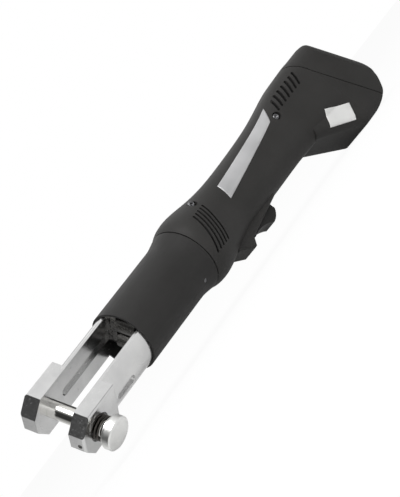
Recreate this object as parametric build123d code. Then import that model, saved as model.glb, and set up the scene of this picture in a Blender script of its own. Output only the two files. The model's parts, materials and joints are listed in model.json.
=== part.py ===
"""Hand-held hydraulic pipe press tool: a swivelling fork head on an in-line housing.

Frame: X forward along the tool's axis, Y to the tool's left, Z up, millimetres.
The origin is the centre of the jaw bolt. The trigger side is -Z.
The head is modelled in its own frame (bolt along Y) and then rolled about X.
"""
import math
import os

from build123d import *

# Clearances
RUN_FIT = 0.05            # radial, shafts and pistons
SLIP = 0.3                # between pieces that slide past each other
SEAM_GAP = 0.4            # half of each visible seam between housings
CUT = 1.0                 # how far a cutting tool runs past the face that it opens

# Head: overall lengths, bolt centre to fork, sleeve and swivel seam
HEAD_ROLL = -59.0         # degrees about X
RIM_BEHIND_BOLT = 79.0
SLEEVE_LENGTH = 94.5
EAR_AHEAD = 20.5

# Fork yoke
YOKE_RADIUS = 26.0
ARM_HALF_HEIGHT = 20.0
JAW_GAP = 29.0
EAR_OUTER = 28.0          # half width over the ears
EAR_BACK = 25.5           # ear block's length behind the bolt
EAR_NOSE_HALF = 7.0       # half height of the ear's upright front face
EAR_CHAMFER_RUN = 11.0
EAR_EDGE_ROUND = 2.0
SLOT_BEHIND_RIM = 28.0
GLAND_WALL = 8.0
GROOVE_HEIGHT = 9.0
GROOVE_DEPTH = 2.5
GROOVE_FRONT_BEHIND_BOLT = 15.0
POCKET_HEIGHT = 7.0
POCKET_LENGTH = 24.0
POCKET_DEPTH = 2.0
POCKET_BEHIND_BOLT = 41.0

# Jaw bolt, its spring and its knob
BOLT_RADIUS = 7.0
BOLT_TIP_CHAMFER = 1.5
BOLT_TIP_RECESS = 0.5     # bolt tip inside the far ear's face
KNOB_RADIUS = 13.6
KNOB_THICKNESS = 7.3
KNOB_FACE = 44.6          # knob's outer face from the axis
KNOB_EDGE = 1.0
WASHER_THICKNESS = 1.5
SEAT_RADIUS = 11.5
SEAT_DEPTH = 6.0
SPRING_WIRE = 1.6
SPRING_MEAN_RADIUS = 9.4
SPRING_TURNS = 4
SPRING_ARCS = 4           # arc pairs in one turn
STOP_SCREW_RADIUS = 1.5
STOP_SCREW_LENGTH = 6.0
STOP_SCREW_DROP = 11.0    # below the bolt's axis

# Cylinder, ram and rollers
SPIGOT_RADIUS = 20.0
SPIGOT_LENGTH = 10.0
BORE_RADIUS = 16.0
BORE_LENGTH = 44.0
NECK_LENGTH = 16.0
NECK_AHEAD_OF_END = 9.0
ROD_RADIUS = 9.0
PISTON_LENGTH = 8.0
PISTON_SEAL_WIDTH = 3.0
PISTON_SEAL_DEPTH = 2.0
ROD_SEAL_WIDTH = 3.0
ROD_SEAL_DEPTH = 2.5
CARRIER_LENGTH = 22.0
CARRIER_HALF_HEIGHT = 17.0
CARRIER_CHEEK = 5.0
ROD_TENON = 6.0
ROLLER_RADIUS = 8.0
ROLLER_AXLE_RADIUS = 3.5
ROLLER_SPREAD = 8.6       # roller axes above and below the tool's axis
ROLLER_BEHIND_NOSE = 5.0
RETURN_SPRING_WALL = 2.0

# Sleeve and pump
SLEEVE_RADIUS = 28.0
SLEEVE_BORE_RADIUS = 26.2
SEAM_RADIUS = 30.4
COLLAR_LENGTH = 18.0
COLLAR_BEND = 7.0
SLEEVE_SCREW_RADIUS = 1.8
SLEEVE_SCREW_BEHIND_RIM = 80.0
SLEEVE_SCREW_ANGLE = 8.0  # degrees above the head's left side
PUMP_NECK_RADIUS = 20.0
PUMP_NECK_LENGTH = 10.0
PUMP_POCKET_RADIUS = 8.0
PUMP_POCKET_DEPTH = 13.0
PLUNGER_RADIUS = 3.0
PLUNGER_LENGTH = 12.0
VALVE_RADIUS = 3.2
VALVE_LENGTH = 9.0
VALVE_HEAD_RADIUS = 4.4
VALVE_HEAD_LENGTH = 2.0
VALVE_OFF_AXIS = 15.0
BUSH_LENGTH = 6.0
SWIVEL_RING_WIDTH = 6.0
SWIVEL_RING_WALL = 5.0
RETAINER_WIDTH = 1.5
RETAINER_RADIUS = 23.0
RETAINER_GROOVE = 1.4

# Housing outline: sections behind the swivel seam
WALL = 2.6
ROUNDEST = 0.48           # corner radius of a round section, as a share of its width
BALL_BEHIND = 21.0
BALL_RADIUS = 32.6
GRIP_BEHIND = 70.0
GRIP_LENGTH = 62.0
GRIP_HALF_WIDTH = 22.5
GRIP_HALF_HEIGHT = 25.8
GRIP_TOP = 26.4
GRIP_END_TOP = 27.4
FLARE_HALF_WIDTH = 25.5
FLARE_TOP = 31.4
FLARE_BOTTOM = 27.0
FLARE_CORNER = 18.0
GRIP_CORNER = 20.0
FLARE_LENGTH = 88.0
TAIL_HALF_WIDTH = 29.0
TAIL_TOP = 34.5
TAIL_BOTTOM = 32.0
TAIL_CORNER = 15.0
TAIL_LENGTH = 80.0
FOOT_START = 173.0
FOOT_RAMP = 45.0
FOOT_BOTTOM = 53.0
FOOT_ROUND = 9.0
REAR_TOP_BEHIND = 246.5   # slanted rear face where it meets the top
REAR_SLANT = 0.48         # rearward run for each unit of fall
REAR_TOP_ROUND = 14.0
REAR_KNEE_ROUND = 36.0
REAR_SIDE_ROUND = 18.0
REAR_CREASE = 0.4         # the round rear corners start this far behind the rear face
PACK_THICKNESS = 37.5

# Trigger block and trigger
BLOCK_HALF_WIDTH = 12.5
BLOCK_START = 33.5
NOSE_BEHIND = 46.0
NOSE_BOTTOM = 38.6
NOSE_FLAT = 2.5
CHEEK_BEHIND = 54.0
CHEEK_BOTTOM = 32.5
CHEEK_END = 100.0
BLOCK_EDGE_ROUND = 2.5
TRIGGER_HALF_WIDTH = 8.5
TRIGGER_PIVOT_BEHIND = 61.0
TRIGGER_PIVOT_DROP = 23.5
TRIGGER_PIN_RADIUS = 1.5
TRIGGER_EYE = 3.6
TRIGGER_TOE_DROP = 33.5
TRIGGER_TIP_BEHIND = 80.5
TRIGGER_TIP_DROP = 38.6
TRIGGER_HEEL_BEHIND = 92.0
TRIGGER_HEEL_DROP = 32.0
TRIGGER_ROOF_DROP = 20.2
TRIGGER_SCOOP_SAG = 3.0
TRIGGER_HEEL_TOP_DROP = 26.5
TRIGGER_TOE_BEHIND = 57.0
TRIGGER_TIP_BULGE = 1.5
TRIGGER_SLOT_END = 1.5    # slot's room ahead of the toe and behind the heel
TRIGGER_PIN_SEAT = 1.5    # pin's reach into each cheek
TRIGGER_SPRING_HALF_WIDTH = 2.5
TRIGGER_SPRING_WALL = 1.4
SWITCH_BEHIND = 39.0
SWITCH_LENGTH = 15.5
SWITCH_TOP = 19.0
SWITCH_HEIGHT = 10.0
SWITCH_PLUNGER_RADIUS = 1.8

# Motor, fan and gears
GEAR_MODULE = 1.0
SUN_TEETH = 12
PLANET_TEETH = 15
PLANETS = 3
GEAR_WIDTH = 8.0
GEAR_ADDENDUM = 0.8       # in modules
GEAR_DEDENDUM = 1.05      # in modules
GEAR_BACKLASH = 0.3
PRESSURE_ANGLE = 20.0
RING_RIM = 4.0
CARRIER_PLATE = 3.0
CARRIER_PLATE_RADIUS = 18.0
PLANET_PIN_RADIUS = 2.0
ECCENTRIC_RADIUS = 5.0
ECCENTRIC_OFFSET = 1.4
ECCENTRIC_SHAFT_RADIUS = 4.0
FAN_RADIUS = 18.0
FAN_WIDTH = 6.0
FAN_HUB_RADIUS = 8.0
FAN_BLADES = 9
FAN_BLADE_THICKNESS = 1.4
FAN_BACKPLATE = 1.5
MOTOR_RADIUS = 18.0
MOTOR_LENGTH = 60.0
MOTOR_CAN_WALL = 1.6
MOTOR_END_WALL = 3.0
MOTOR_BEHIND = 36.0
MAGNET_THICKNESS = 2.5
MAGNET_ARC = 130.0        # degrees
AIR_GAP = 0.6
SHAFT_RADIUS = 2.5
SHAFT_TAIL = 3.0

# Electronics and battery pack
BOARD_LENGTH = 34.0
BOARD_HALF_WIDTH = 15.0
BOARD_THICKNESS = 1.6
BOARD_BEHIND = 103.0
BOARD_HEIGHT = 6.0
BOARD_SEAT = 4.0
CHIP_SIZE = 9.0
CHIP_HEIGHT = 2.0
CHIPS = 2
TERMINAL_BEHIND = 154.0
TERMINAL_LENGTH = 14.0
TERMINAL_HALF_WIDTH = 12.0
TERMINAL_HALF_HEIGHT = 8.0
CELL_RADIUS = 9.1
CELL_LENGTH = 65.0
CELL_PITCH = 18.6
STEM_WALL = 1.8
STEM_BEHIND = 172.0
STEM_CENTRE = 0.0
CONTACT_HALF_WIDTH = 3.0
CONTACT_THICKNESS = 0.8
CONTACT_LENGTH = 7.0
CONTACT_SPREAD = 7.0
LATCH_HALF_WIDTH = 9.0
LATCH_HALF_HEIGHT = 5.0
LATCH_DEPTH = 9.0
LATCH_PROUD = 1.5
LATCH_HEIGHT = 6.0

# Vents, ribs and screws in the housing
FRONT_VENTS = 5
FRONT_VENT_PITCH = 4.3
FRONT_VENT_WIDTH = 1.8
FRONT_VENT_LENGTH = 36.0
FRONT_VENT_BEHIND = 13.0  # middle of the frontmost vent
FRONT_VENT_LEAN = 21.0    # degrees, upper end rearward
REAR_VENTS = 7
REAR_VENT_PITCH = 5.5
REAR_VENT_WIDTH = 2.4
REAR_VENT_LENGTH = 13.5
REAR_VENT_BEHIND = 168.8  # middle of the frontmost vent
REAR_VENT_HEIGHT = 20.0
REAR_VENT_LEAN = 27.0     # degrees, upper end rearward
RIB = 2.4
FRONT_RIB_BEHIND = 71.0
REAR_RIB_BEHIND = 90.0
SCREW_PLACES = (          # behind the seam, height, head's seat off the middle plane, head's side
    (36.0, 23.5, 16.0, 1),
    (160.0, 13.0, 20.0, 1),
    (118.0, -16.5, 12.5, -1),
    (222.0, -42.0, 22.0, -1),
)
SCREW_HEAD_RADIUS = 3.2
SCREW_HEAD_LENGTH = 2.6
SCREW_RADIUS = 1.5
SCREW_RECESS_RADIUS = 3.8
SCREW_BOSS_RADIUS = 4.6
SCREW_GRIP = 8.0          # thread in the far half
VENT_INNER = 20.0         # vents cut nothing closer to the middle plane

# Places worked out from the sizes above
X_RIM = -RIM_BEHIND_BOLT
X_SEAM = X_RIM - SLEEVE_LENGTH
X_EAR_FRONT = EAR_AHEAD
X_SLOT_FLOOR = X_RIM - SLOT_BEHIND_RIM
X_GLAND = X_SLOT_FLOOR - GLAND_WALL
X_YOKE_REAR = X_GLAND - SPIGOT_LENGTH
X_BORE_FLOOR = X_GLAND - BORE_LENGTH
HALF_GAP = JAW_GAP / 2
RING_TEETH = SUN_TEETH + 2 * PLANET_TEETH
PLANET_ORBIT = GEAR_MODULE * (SUN_TEETH + PLANET_TEETH) / 2
X_SWIVEL = X_SEAM - SEAM_GAP
X_RETAINER = X_SWIVEL - SWIVEL_RING_WIDTH - SLIP
X_PUMP_END = X_SEAM - PUMP_NECK_LENGTH
X_CARRIER = X_PUMP_END - SLIP
X_GEARS = X_CARRIER - CARRIER_PLATE - SLIP
X_MOTOR = X_SEAM - MOTOR_BEHIND
X_FAN = X_MOTOR + SLIP * 2
STEM_HALF = CELL_PITCH / 2 + CELL_RADIUS + STEM_WALL + SLIP
BOLT_TIP_Y = -EAR_OUTER + BOLT_TIP_RECESS
KNOB_BACK = KNOB_FACE - KNOB_THICKNESS
SPRING_FLOOR = EAR_OUTER - SEAT_DEPTH
SPRING_TOP = KNOB_BACK - WASHER_THICKNESS


def behind(distance):
    """X of a place this far behind the swivel seam."""
    return X_SEAM - distance


def along_x(x_front, x_rear, radius):
    """Cylinder on the tool's axis."""
    return Pos((x_front + x_rear) / 2, 0, 0) * Rot(0, 90, 0) * Cylinder(radius, x_front - x_rear)


def ring_x(x_front, x_rear, outer, inner):
    """Plain ring on the tool's axis."""
    return along_x(x_front, x_rear, outer) - along_x(x_front + CUT, x_rear - CUT, inner)


def along_y(y_left, y_right, radius, x=0.0, z=0.0):
    """Cylinder along Y."""
    return Pos(x, (y_left + y_right) / 2, z) * Rot(90, 0, 0) * Cylinder(radius, y_left - y_right)


def block(x_front, x_rear, y_half, z_top, z_bottom):
    """Box that is even about the tool's middle plane."""
    size = Box(x_front - x_rear, 2 * y_half, z_top - z_bottom)
    return Pos((x_front + x_rear) / 2, 0, (z_top + z_bottom) / 2) * size


def side_plate(points, half_width):
    """Plate from a side outline of (X, Z) points, even about the middle plane."""
    face = Plane.XZ * make_face(Polyline(*points, close=True))
    return extrude(face, half_width, both=True)


def in_head(shape):
    """Turn a piece of the head from the head's frame to the tool's."""
    return Rot(HEAD_ROLL, 0, 0) * shape


# Fork yoke

def ear_block():
    """Squared ears with raked front corners, as one bar across the slot."""
    rake = EAR_NOSE_HALF
    outline = [
        (-EAR_BACK, ARM_HALF_HEIGHT),
        (X_EAR_FRONT - EAR_CHAMFER_RUN, ARM_HALF_HEIGHT),
        (X_EAR_FRONT, rake),
        (X_EAR_FRONT, -rake),
        (X_EAR_FRONT - EAR_CHAMFER_RUN, -ARM_HALF_HEIGHT),
        (-EAR_BACK, -ARM_HALF_HEIGHT),
    ]
    bar = side_plate(outline, EAR_OUTER)
    corners = bar.edges().filter_by(Axis.X) + bar.edges().filter_by(Axis.Z)
    outer_edges = corners.filter_by(lambda edge: abs(edge.center().Y) > HALF_GAP)
    return fillet(outer_edges, EAR_EDGE_ROUND)


def guide_groove(side):
    """Groove with a round end in one arm's inner face, for the roller carrier."""
    y_floor = side * (HALF_GAP + GROOVE_DEPTH)
    x_end = -GROOVE_FRONT_BEHIND_BOLT - GROOVE_HEIGHT / 2
    straight = Pos((X_SLOT_FLOOR + x_end) / 2, y_floor / 2, 0) * Box(
        x_end - X_SLOT_FLOOR, abs(y_floor), GROOVE_HEIGHT
    )
    return straight + along_y(max(y_floor, 0), min(y_floor, 0), GROOVE_HEIGHT / 2, x_end)


def arm_pocket(side):
    """Long shallow pocket with round ends in one arm's round outer face."""
    y_outer = side * (YOKE_RADIUS + CUT)
    y_floor = side * (YOKE_RADIUS - POCKET_DEPTH)
    shape = Plane.XZ * SlotOverall(POCKET_LENGTH, POCKET_HEIGHT)
    bar = extrude(shape, abs(y_outer - y_floor) / 2, both=True)
    return Pos(-POCKET_BEHIND_BOLT, (y_outer + y_floor) / 2, 0) * bar


def fork_yoke():
    arms = along_x(0, X_YOKE_REAR, YOKE_RADIUS)
    arms &= block(X_EAR_FRONT, X_SLOT_FLOOR, YOKE_RADIUS, ARM_HALF_HEIGHT, -ARM_HALF_HEIGHT) + along_x(
        X_SLOT_FLOOR, X_YOKE_REAR, YOKE_RADIUS
    )
    body = arms + ear_block()
    body -= block(X_EAR_FRONT + CUT, X_SLOT_FLOOR, HALF_GAP, YOKE_RADIUS + CUT, -YOKE_RADIUS - CUT)
    body -= along_y(EAR_OUTER + CUT, -EAR_OUTER - CUT, BOLT_RADIUS + RUN_FIT)
    body -= along_y(EAR_OUTER + CUT, SPRING_FLOOR, SEAT_RADIUS)
    body -= along_x(X_SLOT_FLOOR + CUT, X_GLAND - CUT, ROD_RADIUS + RUN_FIT)
    body -= along_x(rod_seal_front(), rod_seal_front() - ROD_SEAL_WIDTH, ROD_RADIUS + ROD_SEAL_DEPTH)
    body -= along_x(X_GLAND, X_YOKE_REAR - CUT, SPIGOT_RADIUS)
    for side in (1, -1):
        body -= guide_groove(side)
        body -= arm_pocket(side)
    return body - stop_screw_shape(CUT)


def rod_seal_front():
    """Front face of the rod seal, in the middle of the gland wall."""
    return (X_SLOT_FLOOR + X_GLAND + ROD_SEAL_WIDTH) / 2


def stop_screw_shape(past=0.0):
    """Bolt stop screw in the left ear's front face; with a run past the face it cuts its hole."""
    middle = (EAR_OUTER + HALF_GAP) / 2
    x_face = X_EAR_FRONT - EAR_CHAMFER_RUN * (STOP_SCREW_DROP - EAR_NOSE_HALF) / (
        ARM_HALF_HEIGHT - EAR_NOSE_HALF
    )
    screw = along_x(x_face + past, x_face - STOP_SCREW_LENGTH, STOP_SCREW_RADIUS)
    return Pos(0, middle, -STOP_SCREW_DROP) * screw


def bolt_stop_screw():
    return stop_screw_shape(-EAR_EDGE_ROUND / 2)


# Jaw bolt

def locking_bolt():
    bolt = along_y(KNOB_BACK, BOLT_TIP_Y, BOLT_RADIUS)
    return chamfer(bolt.faces().sort_by(Axis.Y)[0].edges(), BOLT_TIP_CHAMFER)


def bolt_knob():
    knob = along_y(KNOB_FACE, KNOB_BACK, KNOB_RADIUS)
    return chamfer(knob.edges(), KNOB_EDGE)


def thrust_washer():
    washer = along_y(KNOB_BACK, SPRING_TOP, SEAT_RADIUS - SLIP)
    return washer - along_y(KNOB_BACK + CUT, SPRING_TOP - CUT, BOLT_RADIUS + RUN_FIT)


def helix_point(turn, radius, start, pitch):
    """Point and unit tangent of a helix about Y at a number of turns."""
    angle = 2 * math.pi * turn
    point = Vector(radius * math.cos(angle), start + pitch * turn, radius * math.sin(angle))
    along = Vector(
        -2 * math.pi * radius * math.sin(angle), pitch, 2 * math.pi * radius * math.cos(angle)
    )
    return point, along.normalized()


def biarc(p0, t0, p1, t1):
    """Two tangent arcs from one point and direction to another."""
    chord = p1 - p0
    both = t0 + t1
    spread = 2 * (1 - t0.dot(t1))
    reach = (math.sqrt(chord.dot(both) ** 2 + spread * chord.dot(chord)) - chord.dot(both)) / spread
    corner_0 = p0 + t0 * reach
    corner_1 = p1 - t1 * reach
    middle = (corner_0 + corner_1) / 2
    first = TangentArc(p0, middle, tangent=t0)
    second = TangentArc(middle, p1, tangent=(corner_1 - corner_0).normalized())
    return [first, second]


def bolt_spring():
    """Round-wire compression spring between the left ear's seat and the washer."""
    start = SPRING_FLOOR + SPRING_WIRE / 2 + SLIP
    length = SPRING_TOP - SPRING_WIRE / 2 - SLIP - start
    pitch = length / SPRING_TURNS
    arcs = SPRING_TURNS * SPRING_ARCS
    path = []
    samples = []
    point, tangent = helix_point(0, SPRING_MEAN_RADIUS, start, pitch)
    first, first_tangent = point, tangent
    for arc in range(1, arcs + 1):
        following, next_tangent = helix_point(arc / SPRING_ARCS, SPRING_MEAN_RADIUS, start, pitch)
        path += biarc(point, tangent, following, next_tangent)
        samples.append(point)
        point, tangent = following, next_tangent
    wire = Wire(path)
    gap = min(
        (a - b).length
        for index, a in enumerate(samples)
        for b in samples[index + SPRING_ARCS - 1:]
    ) - SPRING_WIRE
    print(f"bolt spring: least gap between turns {gap:.2f} mm")
    section = Plane(origin=first, z_dir=first_tangent) * Circle(SPRING_WIRE / 2)
    return sweep(section, path=wire)


# Ram, cylinder and rollers

def ram_rod_front():
    return X_SLOT_FLOOR + SLIP + ROD_TENON


def ram_piston():
    x_face = X_BORE_FLOOR + SLIP + PISTON_LENGTH
    piston = along_x(x_face, X_BORE_FLOOR + SLIP, BORE_RADIUS - RUN_FIT)
    x_seal = (x_face + X_BORE_FLOOR + SLIP + PISTON_SEAL_WIDTH) / 2
    piston -= ring_x(x_seal, x_seal - PISTON_SEAL_WIDTH, BORE_RADIUS + CUT, BORE_RADIUS - PISTON_SEAL_DEPTH)
    return piston + along_x(ram_rod_front(), X_BORE_FLOOR + SLIP, ROD_RADIUS)


def piston_seal():
    x_seal = X_BORE_FLOOR + SLIP + (PISTON_LENGTH + PISTON_SEAL_WIDTH) / 2
    return ring_x(x_seal, x_seal - PISTON_SEAL_WIDTH, BORE_RADIUS - RUN_FIT, BORE_RADIUS - PISTON_SEAL_DEPTH)


def rod_seal():
    x_front = rod_seal_front()
    return ring_x(x_front, x_front - ROD_SEAL_WIDTH, ROD_RADIUS + ROD_SEAL_DEPTH, ROD_RADIUS + RUN_FIT)


def return_spring():
    """Space of the coil spring that brings the ram back, round the rod."""
    inner = ROD_RADIUS + SLIP
    x_rear = X_BORE_FLOOR + SLIP + PISTON_LENGTH
    return ring_x(X_GLAND, x_rear, inner + RETURN_SPRING_WALL, inner)


def roller_x():
    return X_SLOT_FLOOR + SLIP + CARRIER_LENGTH - ROLLER_BEHIND_NOSE


def roller_carrier():
    """Block on the rod with a slot for two rollers and a tongue in each arm's groove."""
    x_rear = X_SLOT_FLOOR + SLIP
    x_front = x_rear + CARRIER_LENGTH
    half = HALF_GAP - SLIP
    body = block(x_front, x_rear, half, CARRIER_HALF_HEIGHT, -CARRIER_HALF_HEIGHT)
    body = fillet(body.edges().filter_by(Axis.Y).sort_by(Axis.X)[-2:], ROLLER_RADIUS)
    tongue_half = GROOVE_HEIGHT / 2 - SLIP
    body += block(x_front, x_rear, half + GROOVE_DEPTH, tongue_half, -tongue_half)
    x_slot = roller_x() - ROLLER_RADIUS - SLIP
    open_height = CARRIER_HALF_HEIGHT + CUT
    body -= block(x_front + CUT, x_slot, half - CARRIER_CHEEK, open_height, -open_height)
    body -= along_x(ram_rod_front(), x_rear - CUT, ROD_RADIUS)
    for side in (1, -1):
        body -= along_y(half + CUT, -half - CUT, ROLLER_AXLE_RADIUS, roller_x(), side * ROLLER_SPREAD)
    return body


def roller_axles():
    half = HALF_GAP - SLIP
    return Part() + [
        along_y(half, -half, ROLLER_AXLE_RADIUS, roller_x(), side * ROLLER_SPREAD) for side in (1, -1)
    ]


def press_roller(side):
    half = HALF_GAP - SLIP - CARRIER_CHEEK - SLIP
    z = side * ROLLER_SPREAD
    roller = along_y(half, -half, ROLLER_RADIUS, roller_x(), z)
    return roller - along_y(half + CUT, -half - CUT, ROLLER_AXLE_RADIUS + RUN_FIT, roller_x(), z)


def press_cylinder():
    outer = along_x(X_YOKE_REAR, X_BORE_FLOOR, YOKE_RADIUS)
    outer += along_x(X_GLAND, X_YOKE_REAR, SPIGOT_RADIUS)
    x_neck = X_BORE_FLOOR + NECK_AHEAD_OF_END
    outer -= ring_x(x_neck + NECK_LENGTH, x_neck, YOKE_RADIUS + CUT, SPIGOT_RADIUS)
    return outer - along_x(X_GLAND + CUT, X_BORE_FLOOR - CUT, BORE_RADIUS)


def oil_bladder():
    """Rubber reservoir ring in the cylinder's neck."""
    x_neck = X_BORE_FLOOR + NECK_AHEAD_OF_END
    return ring_x(x_neck + NECK_LENGTH, x_neck, YOKE_RADIUS, SPIGOT_RADIUS)


# Pump, sleeve and swivel

def pump_block():
    """Pump body that closes the cylinder, with the swivel neck that turns in the housing."""
    body = along_x(X_BORE_FLOOR, X_SEAM + SEAM_GAP, YOKE_RADIUS)
    body += along_x(X_SEAM + SEAM_GAP, X_PUMP_END, PUMP_NECK_RADIUS)
    body -= ring_x(
        X_RETAINER, X_RETAINER - RETAINER_WIDTH, PUMP_NECK_RADIUS + CUT, PUMP_NECK_RADIUS - RETAINER_GROOVE
    )
    body -= along_x(X_PUMP_END + PUMP_POCKET_DEPTH, X_PUMP_END - CUT, PUMP_POCKET_RADIUS)
    body -= plunger_shape(RUN_FIT, YOKE_RADIUS)
    return body - valve_shape()


def eccentric_middle():
    """Middle of the eccentric, ahead of the bush in the pump's pocket."""
    return X_PUMP_END + PUMP_POCKET_DEPTH - SLIP - (PUMP_POCKET_DEPTH - BUSH_LENGTH) / 2


def plunger_shape(clearance=0.0, reach=0.0):
    """Radial pump plunger above the eccentric; with a reach it cuts its bore."""
    tip = ECCENTRIC_RADIUS + ECCENTRIC_OFFSET + SLIP
    length = reach if reach else PLUNGER_LENGTH
    pin = Cylinder(PLUNGER_RADIUS + clearance, length)
    return Pos(eccentric_middle(), 0, tip + length / 2) * pin


def valve_shape():
    """Relief valve cartridge, set in the pump block's front face."""
    stem = along_x(X_BORE_FLOOR, X_BORE_FLOOR - VALVE_LENGTH, VALVE_RADIUS)
    head = along_x(X_BORE_FLOOR, X_BORE_FLOOR - VALVE_HEAD_LENGTH, VALVE_HEAD_RADIUS)
    return Pos(0, 0, -VALVE_OFF_AXIS) * (stem + head)


def pump_bush():
    """Bearing bush for the eccentric's shaft, in the pump's pocket."""
    return ring_x(X_PUMP_END + BUSH_LENGTH, X_PUMP_END, PUMP_POCKET_RADIUS, ECCENTRIC_SHAFT_RADIUS + RUN_FIT)


def swivel_retainer():
    inner = PUMP_NECK_RADIUS - RETAINER_GROOVE
    return ring_x(X_RETAINER, X_RETAINER - RETAINER_WIDTH, RETAINER_RADIUS, inner)


def head_sleeve():
    """Black sleeve over fork, cylinder and pump, with a collar that swells to the housing."""
    x_end = X_SEAM + SEAM_GAP
    outline = Polyline(
        (x_end, SLEEVE_BORE_RADIUS),
        (X_RIM, SLEEVE_BORE_RADIUS),
        (X_RIM, SLEEVE_RADIUS),
        (X_SEAM + COLLAR_LENGTH, SLEEVE_RADIUS),
    )
    swell = Spline(
        (X_SEAM + COLLAR_LENGTH, SLEEVE_RADIUS),
        (X_SEAM + COLLAR_BEND, (SLEEVE_RADIUS + SEAM_RADIUS) / 2),
        (x_end, SEAM_RADIUS),
        tangents=((-1, 0), (-1, (SEAM_RADIUS - SLEEVE_RADIUS) / COLLAR_LENGTH)),
    )
    face = make_face([*outline.edges(), swell, Line((x_end, SEAM_RADIUS), (x_end, SLEEVE_BORE_RADIUS))])
    tube = revolve(Plane.XY * face, Axis.X)
    return tube - sleeve_screw_shape(CUT)


def sleeve_screw_shape(past=0.0):
    """Small screw through the collar into the pump block."""
    reach = SLEEVE_RADIUS - SLEEVE_BORE_RADIUS
    screw = along_y(SLEEVE_BORE_RADIUS + reach + past, YOKE_RADIUS, SLEEVE_SCREW_RADIUS)
    return Rot(SLEEVE_SCREW_ANGLE, 0, 0) * Pos(X_RIM - SLEEVE_SCREW_BEHIND_RIM, 0, 0) * screw


def swivel_ring():
    """Plain bearing in the housing's mouth for the pump's neck."""
    inner = PUMP_NECK_RADIUS + RUN_FIT
    return ring_x(X_SWIVEL, X_SWIVEL - SWIVEL_RING_WIDTH, inner + SWIVEL_RING_WALL, inner)


# Gears, fan and motor

def involute(angle):
    return math.tan(angle) - angle


def gear_face(teeth, tip_radius, root_radius, thinning):
    """Gear outline with a tooth on +Y: each flank is a line through root, pitch and tip points."""
    pitch = GEAR_MODULE * teeth / 2
    pressure = math.radians(PRESSURE_ANGLE)
    base = pitch * math.cos(pressure)
    half_pitch = math.pi / (2 * teeth) - thinning / (2 * pitch)

    def half_angle(radius):
        leaning = math.acos(min(1.0, base / max(radius, base)))
        return half_pitch + involute(pressure) - involute(leaning)

    points = []
    for tooth in range(teeth):
        middle = math.pi / 2 + 2 * math.pi * tooth / teeth
        for side in (-1, 1):
            radii = (root_radius, pitch, tip_radius)
            for radius in radii if side < 0 else radii[::-1]:
                angle = middle + side * half_angle(radius)
                points.append((radius * math.cos(angle), radius * math.sin(angle)))
    return make_face(Polyline(*points, close=True))


def gear_body(face, x_front, width):
    """Extrude a gear outline rearward along X, with the outline's +Y to the tool's left."""
    plane = Plane(origin=(x_front, 0, 0), x_dir=(0, 0, 1), z_dir=(-1, 0, 0))
    return extrude(plane * face, width)


def toothed(teeth):
    pitch = GEAR_MODULE * teeth / 2
    tip = pitch + GEAR_ADDENDUM * GEAR_MODULE
    root = pitch - GEAR_DEDENDUM * GEAR_MODULE
    return gear_body(gear_face(teeth, tip, root, GEAR_BACKLASH / 2), X_GEARS, GEAR_WIDTH)


def planet_angle(index):
    return 360.0 * index / PLANETS


def planet_gear(index):
    pin_hole = along_x(X_GEARS + CUT, X_GEARS - GEAR_WIDTH - CUT, PLANET_PIN_RADIUS + RUN_FIT)
    gear = Pos(0, PLANET_ORBIT, 0) * (toothed(PLANET_TEETH) - pin_hole)
    return Rot(planet_angle(index), 0, 0) * gear


def planet_carrier():
    """Plate with planet pins behind it and the eccentric shaft ahead of it."""
    plate = along_x(X_CARRIER, X_CARRIER - CARRIER_PLATE, CARRIER_PLATE_RADIUS)
    for index in range(PLANETS):
        pin = along_x(X_CARRIER, X_GEARS - GEAR_WIDTH, PLANET_PIN_RADIUS)
        plate += Rot(planet_angle(index), 0, 0) * Pos(0, PLANET_ORBIT, 0) * pin
    x_lobe = X_PUMP_END + BUSH_LENGTH + SLIP
    plate += along_x(x_lobe, X_CARRIER, ECCENTRIC_SHAFT_RADIUS)
    lobe = along_x(X_PUMP_END + PUMP_POCKET_DEPTH - SLIP, x_lobe, ECCENTRIC_RADIUS)
    return plate + Pos(0, 0, ECCENTRIC_OFFSET) * lobe


def ring_gear():
    pitch = GEAR_MODULE * RING_TEETH / 2
    root = pitch + GEAR_DEDENDUM * GEAR_MODULE
    tip = pitch - GEAR_ADDENDUM * GEAR_MODULE
    blank = along_x(X_GEARS, X_GEARS - GEAR_WIDTH, root + RING_RIM)
    spaces = gear_face(RING_TEETH, root, tip, -GEAR_BACKLASH / 2)
    return blank - gear_body(spaces, X_GEARS + CUT, GEAR_WIDTH + 2 * CUT)


def motor_shaft():
    """Shaft with the sun gear cut on its front end."""
    shaft = along_x(X_GEARS - GEAR_WIDTH, X_MOTOR - MOTOR_LENGTH - SHAFT_TAIL, SHAFT_RADIUS)
    return shaft + toothed(SUN_TEETH)


def cooling_fan():
    x_rear = X_FAN
    x_front = x_rear + FAN_WIDTH
    fan = along_x(x_front, x_rear, FAN_HUB_RADIUS)
    fan += along_x(x_rear + FAN_BACKPLATE, x_rear, FAN_RADIUS)
    for index in range(FAN_BLADES):
        blade = Pos((x_front + x_rear) / 2, (FAN_HUB_RADIUS + FAN_RADIUS) / 2, 0) * Box(
            FAN_WIDTH, FAN_RADIUS - FAN_HUB_RADIUS + FAN_BLADE_THICKNESS, FAN_BLADE_THICKNESS
        )
        fan += Rot(360.0 * index / FAN_BLADES, 0, 0) * blade
    fan &= along_x(x_front, x_rear, FAN_RADIUS)
    return fan - along_x(x_front + CUT, x_rear - CUT, SHAFT_RADIUS)


def motor_can():
    x_rear = X_MOTOR - MOTOR_LENGTH
    can = along_x(X_MOTOR, x_rear, MOTOR_RADIUS)
    can -= along_x(X_MOTOR - MOTOR_END_WALL, x_rear + MOTOR_END_WALL, MOTOR_RADIUS - MOTOR_CAN_WALL)
    return can - along_x(X_MOTOR + CUT, x_rear - CUT, SHAFT_RADIUS + RUN_FIT)


def magnet_inner():
    return MOTOR_RADIUS - MOTOR_CAN_WALL - MAGNET_THICKNESS


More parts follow.
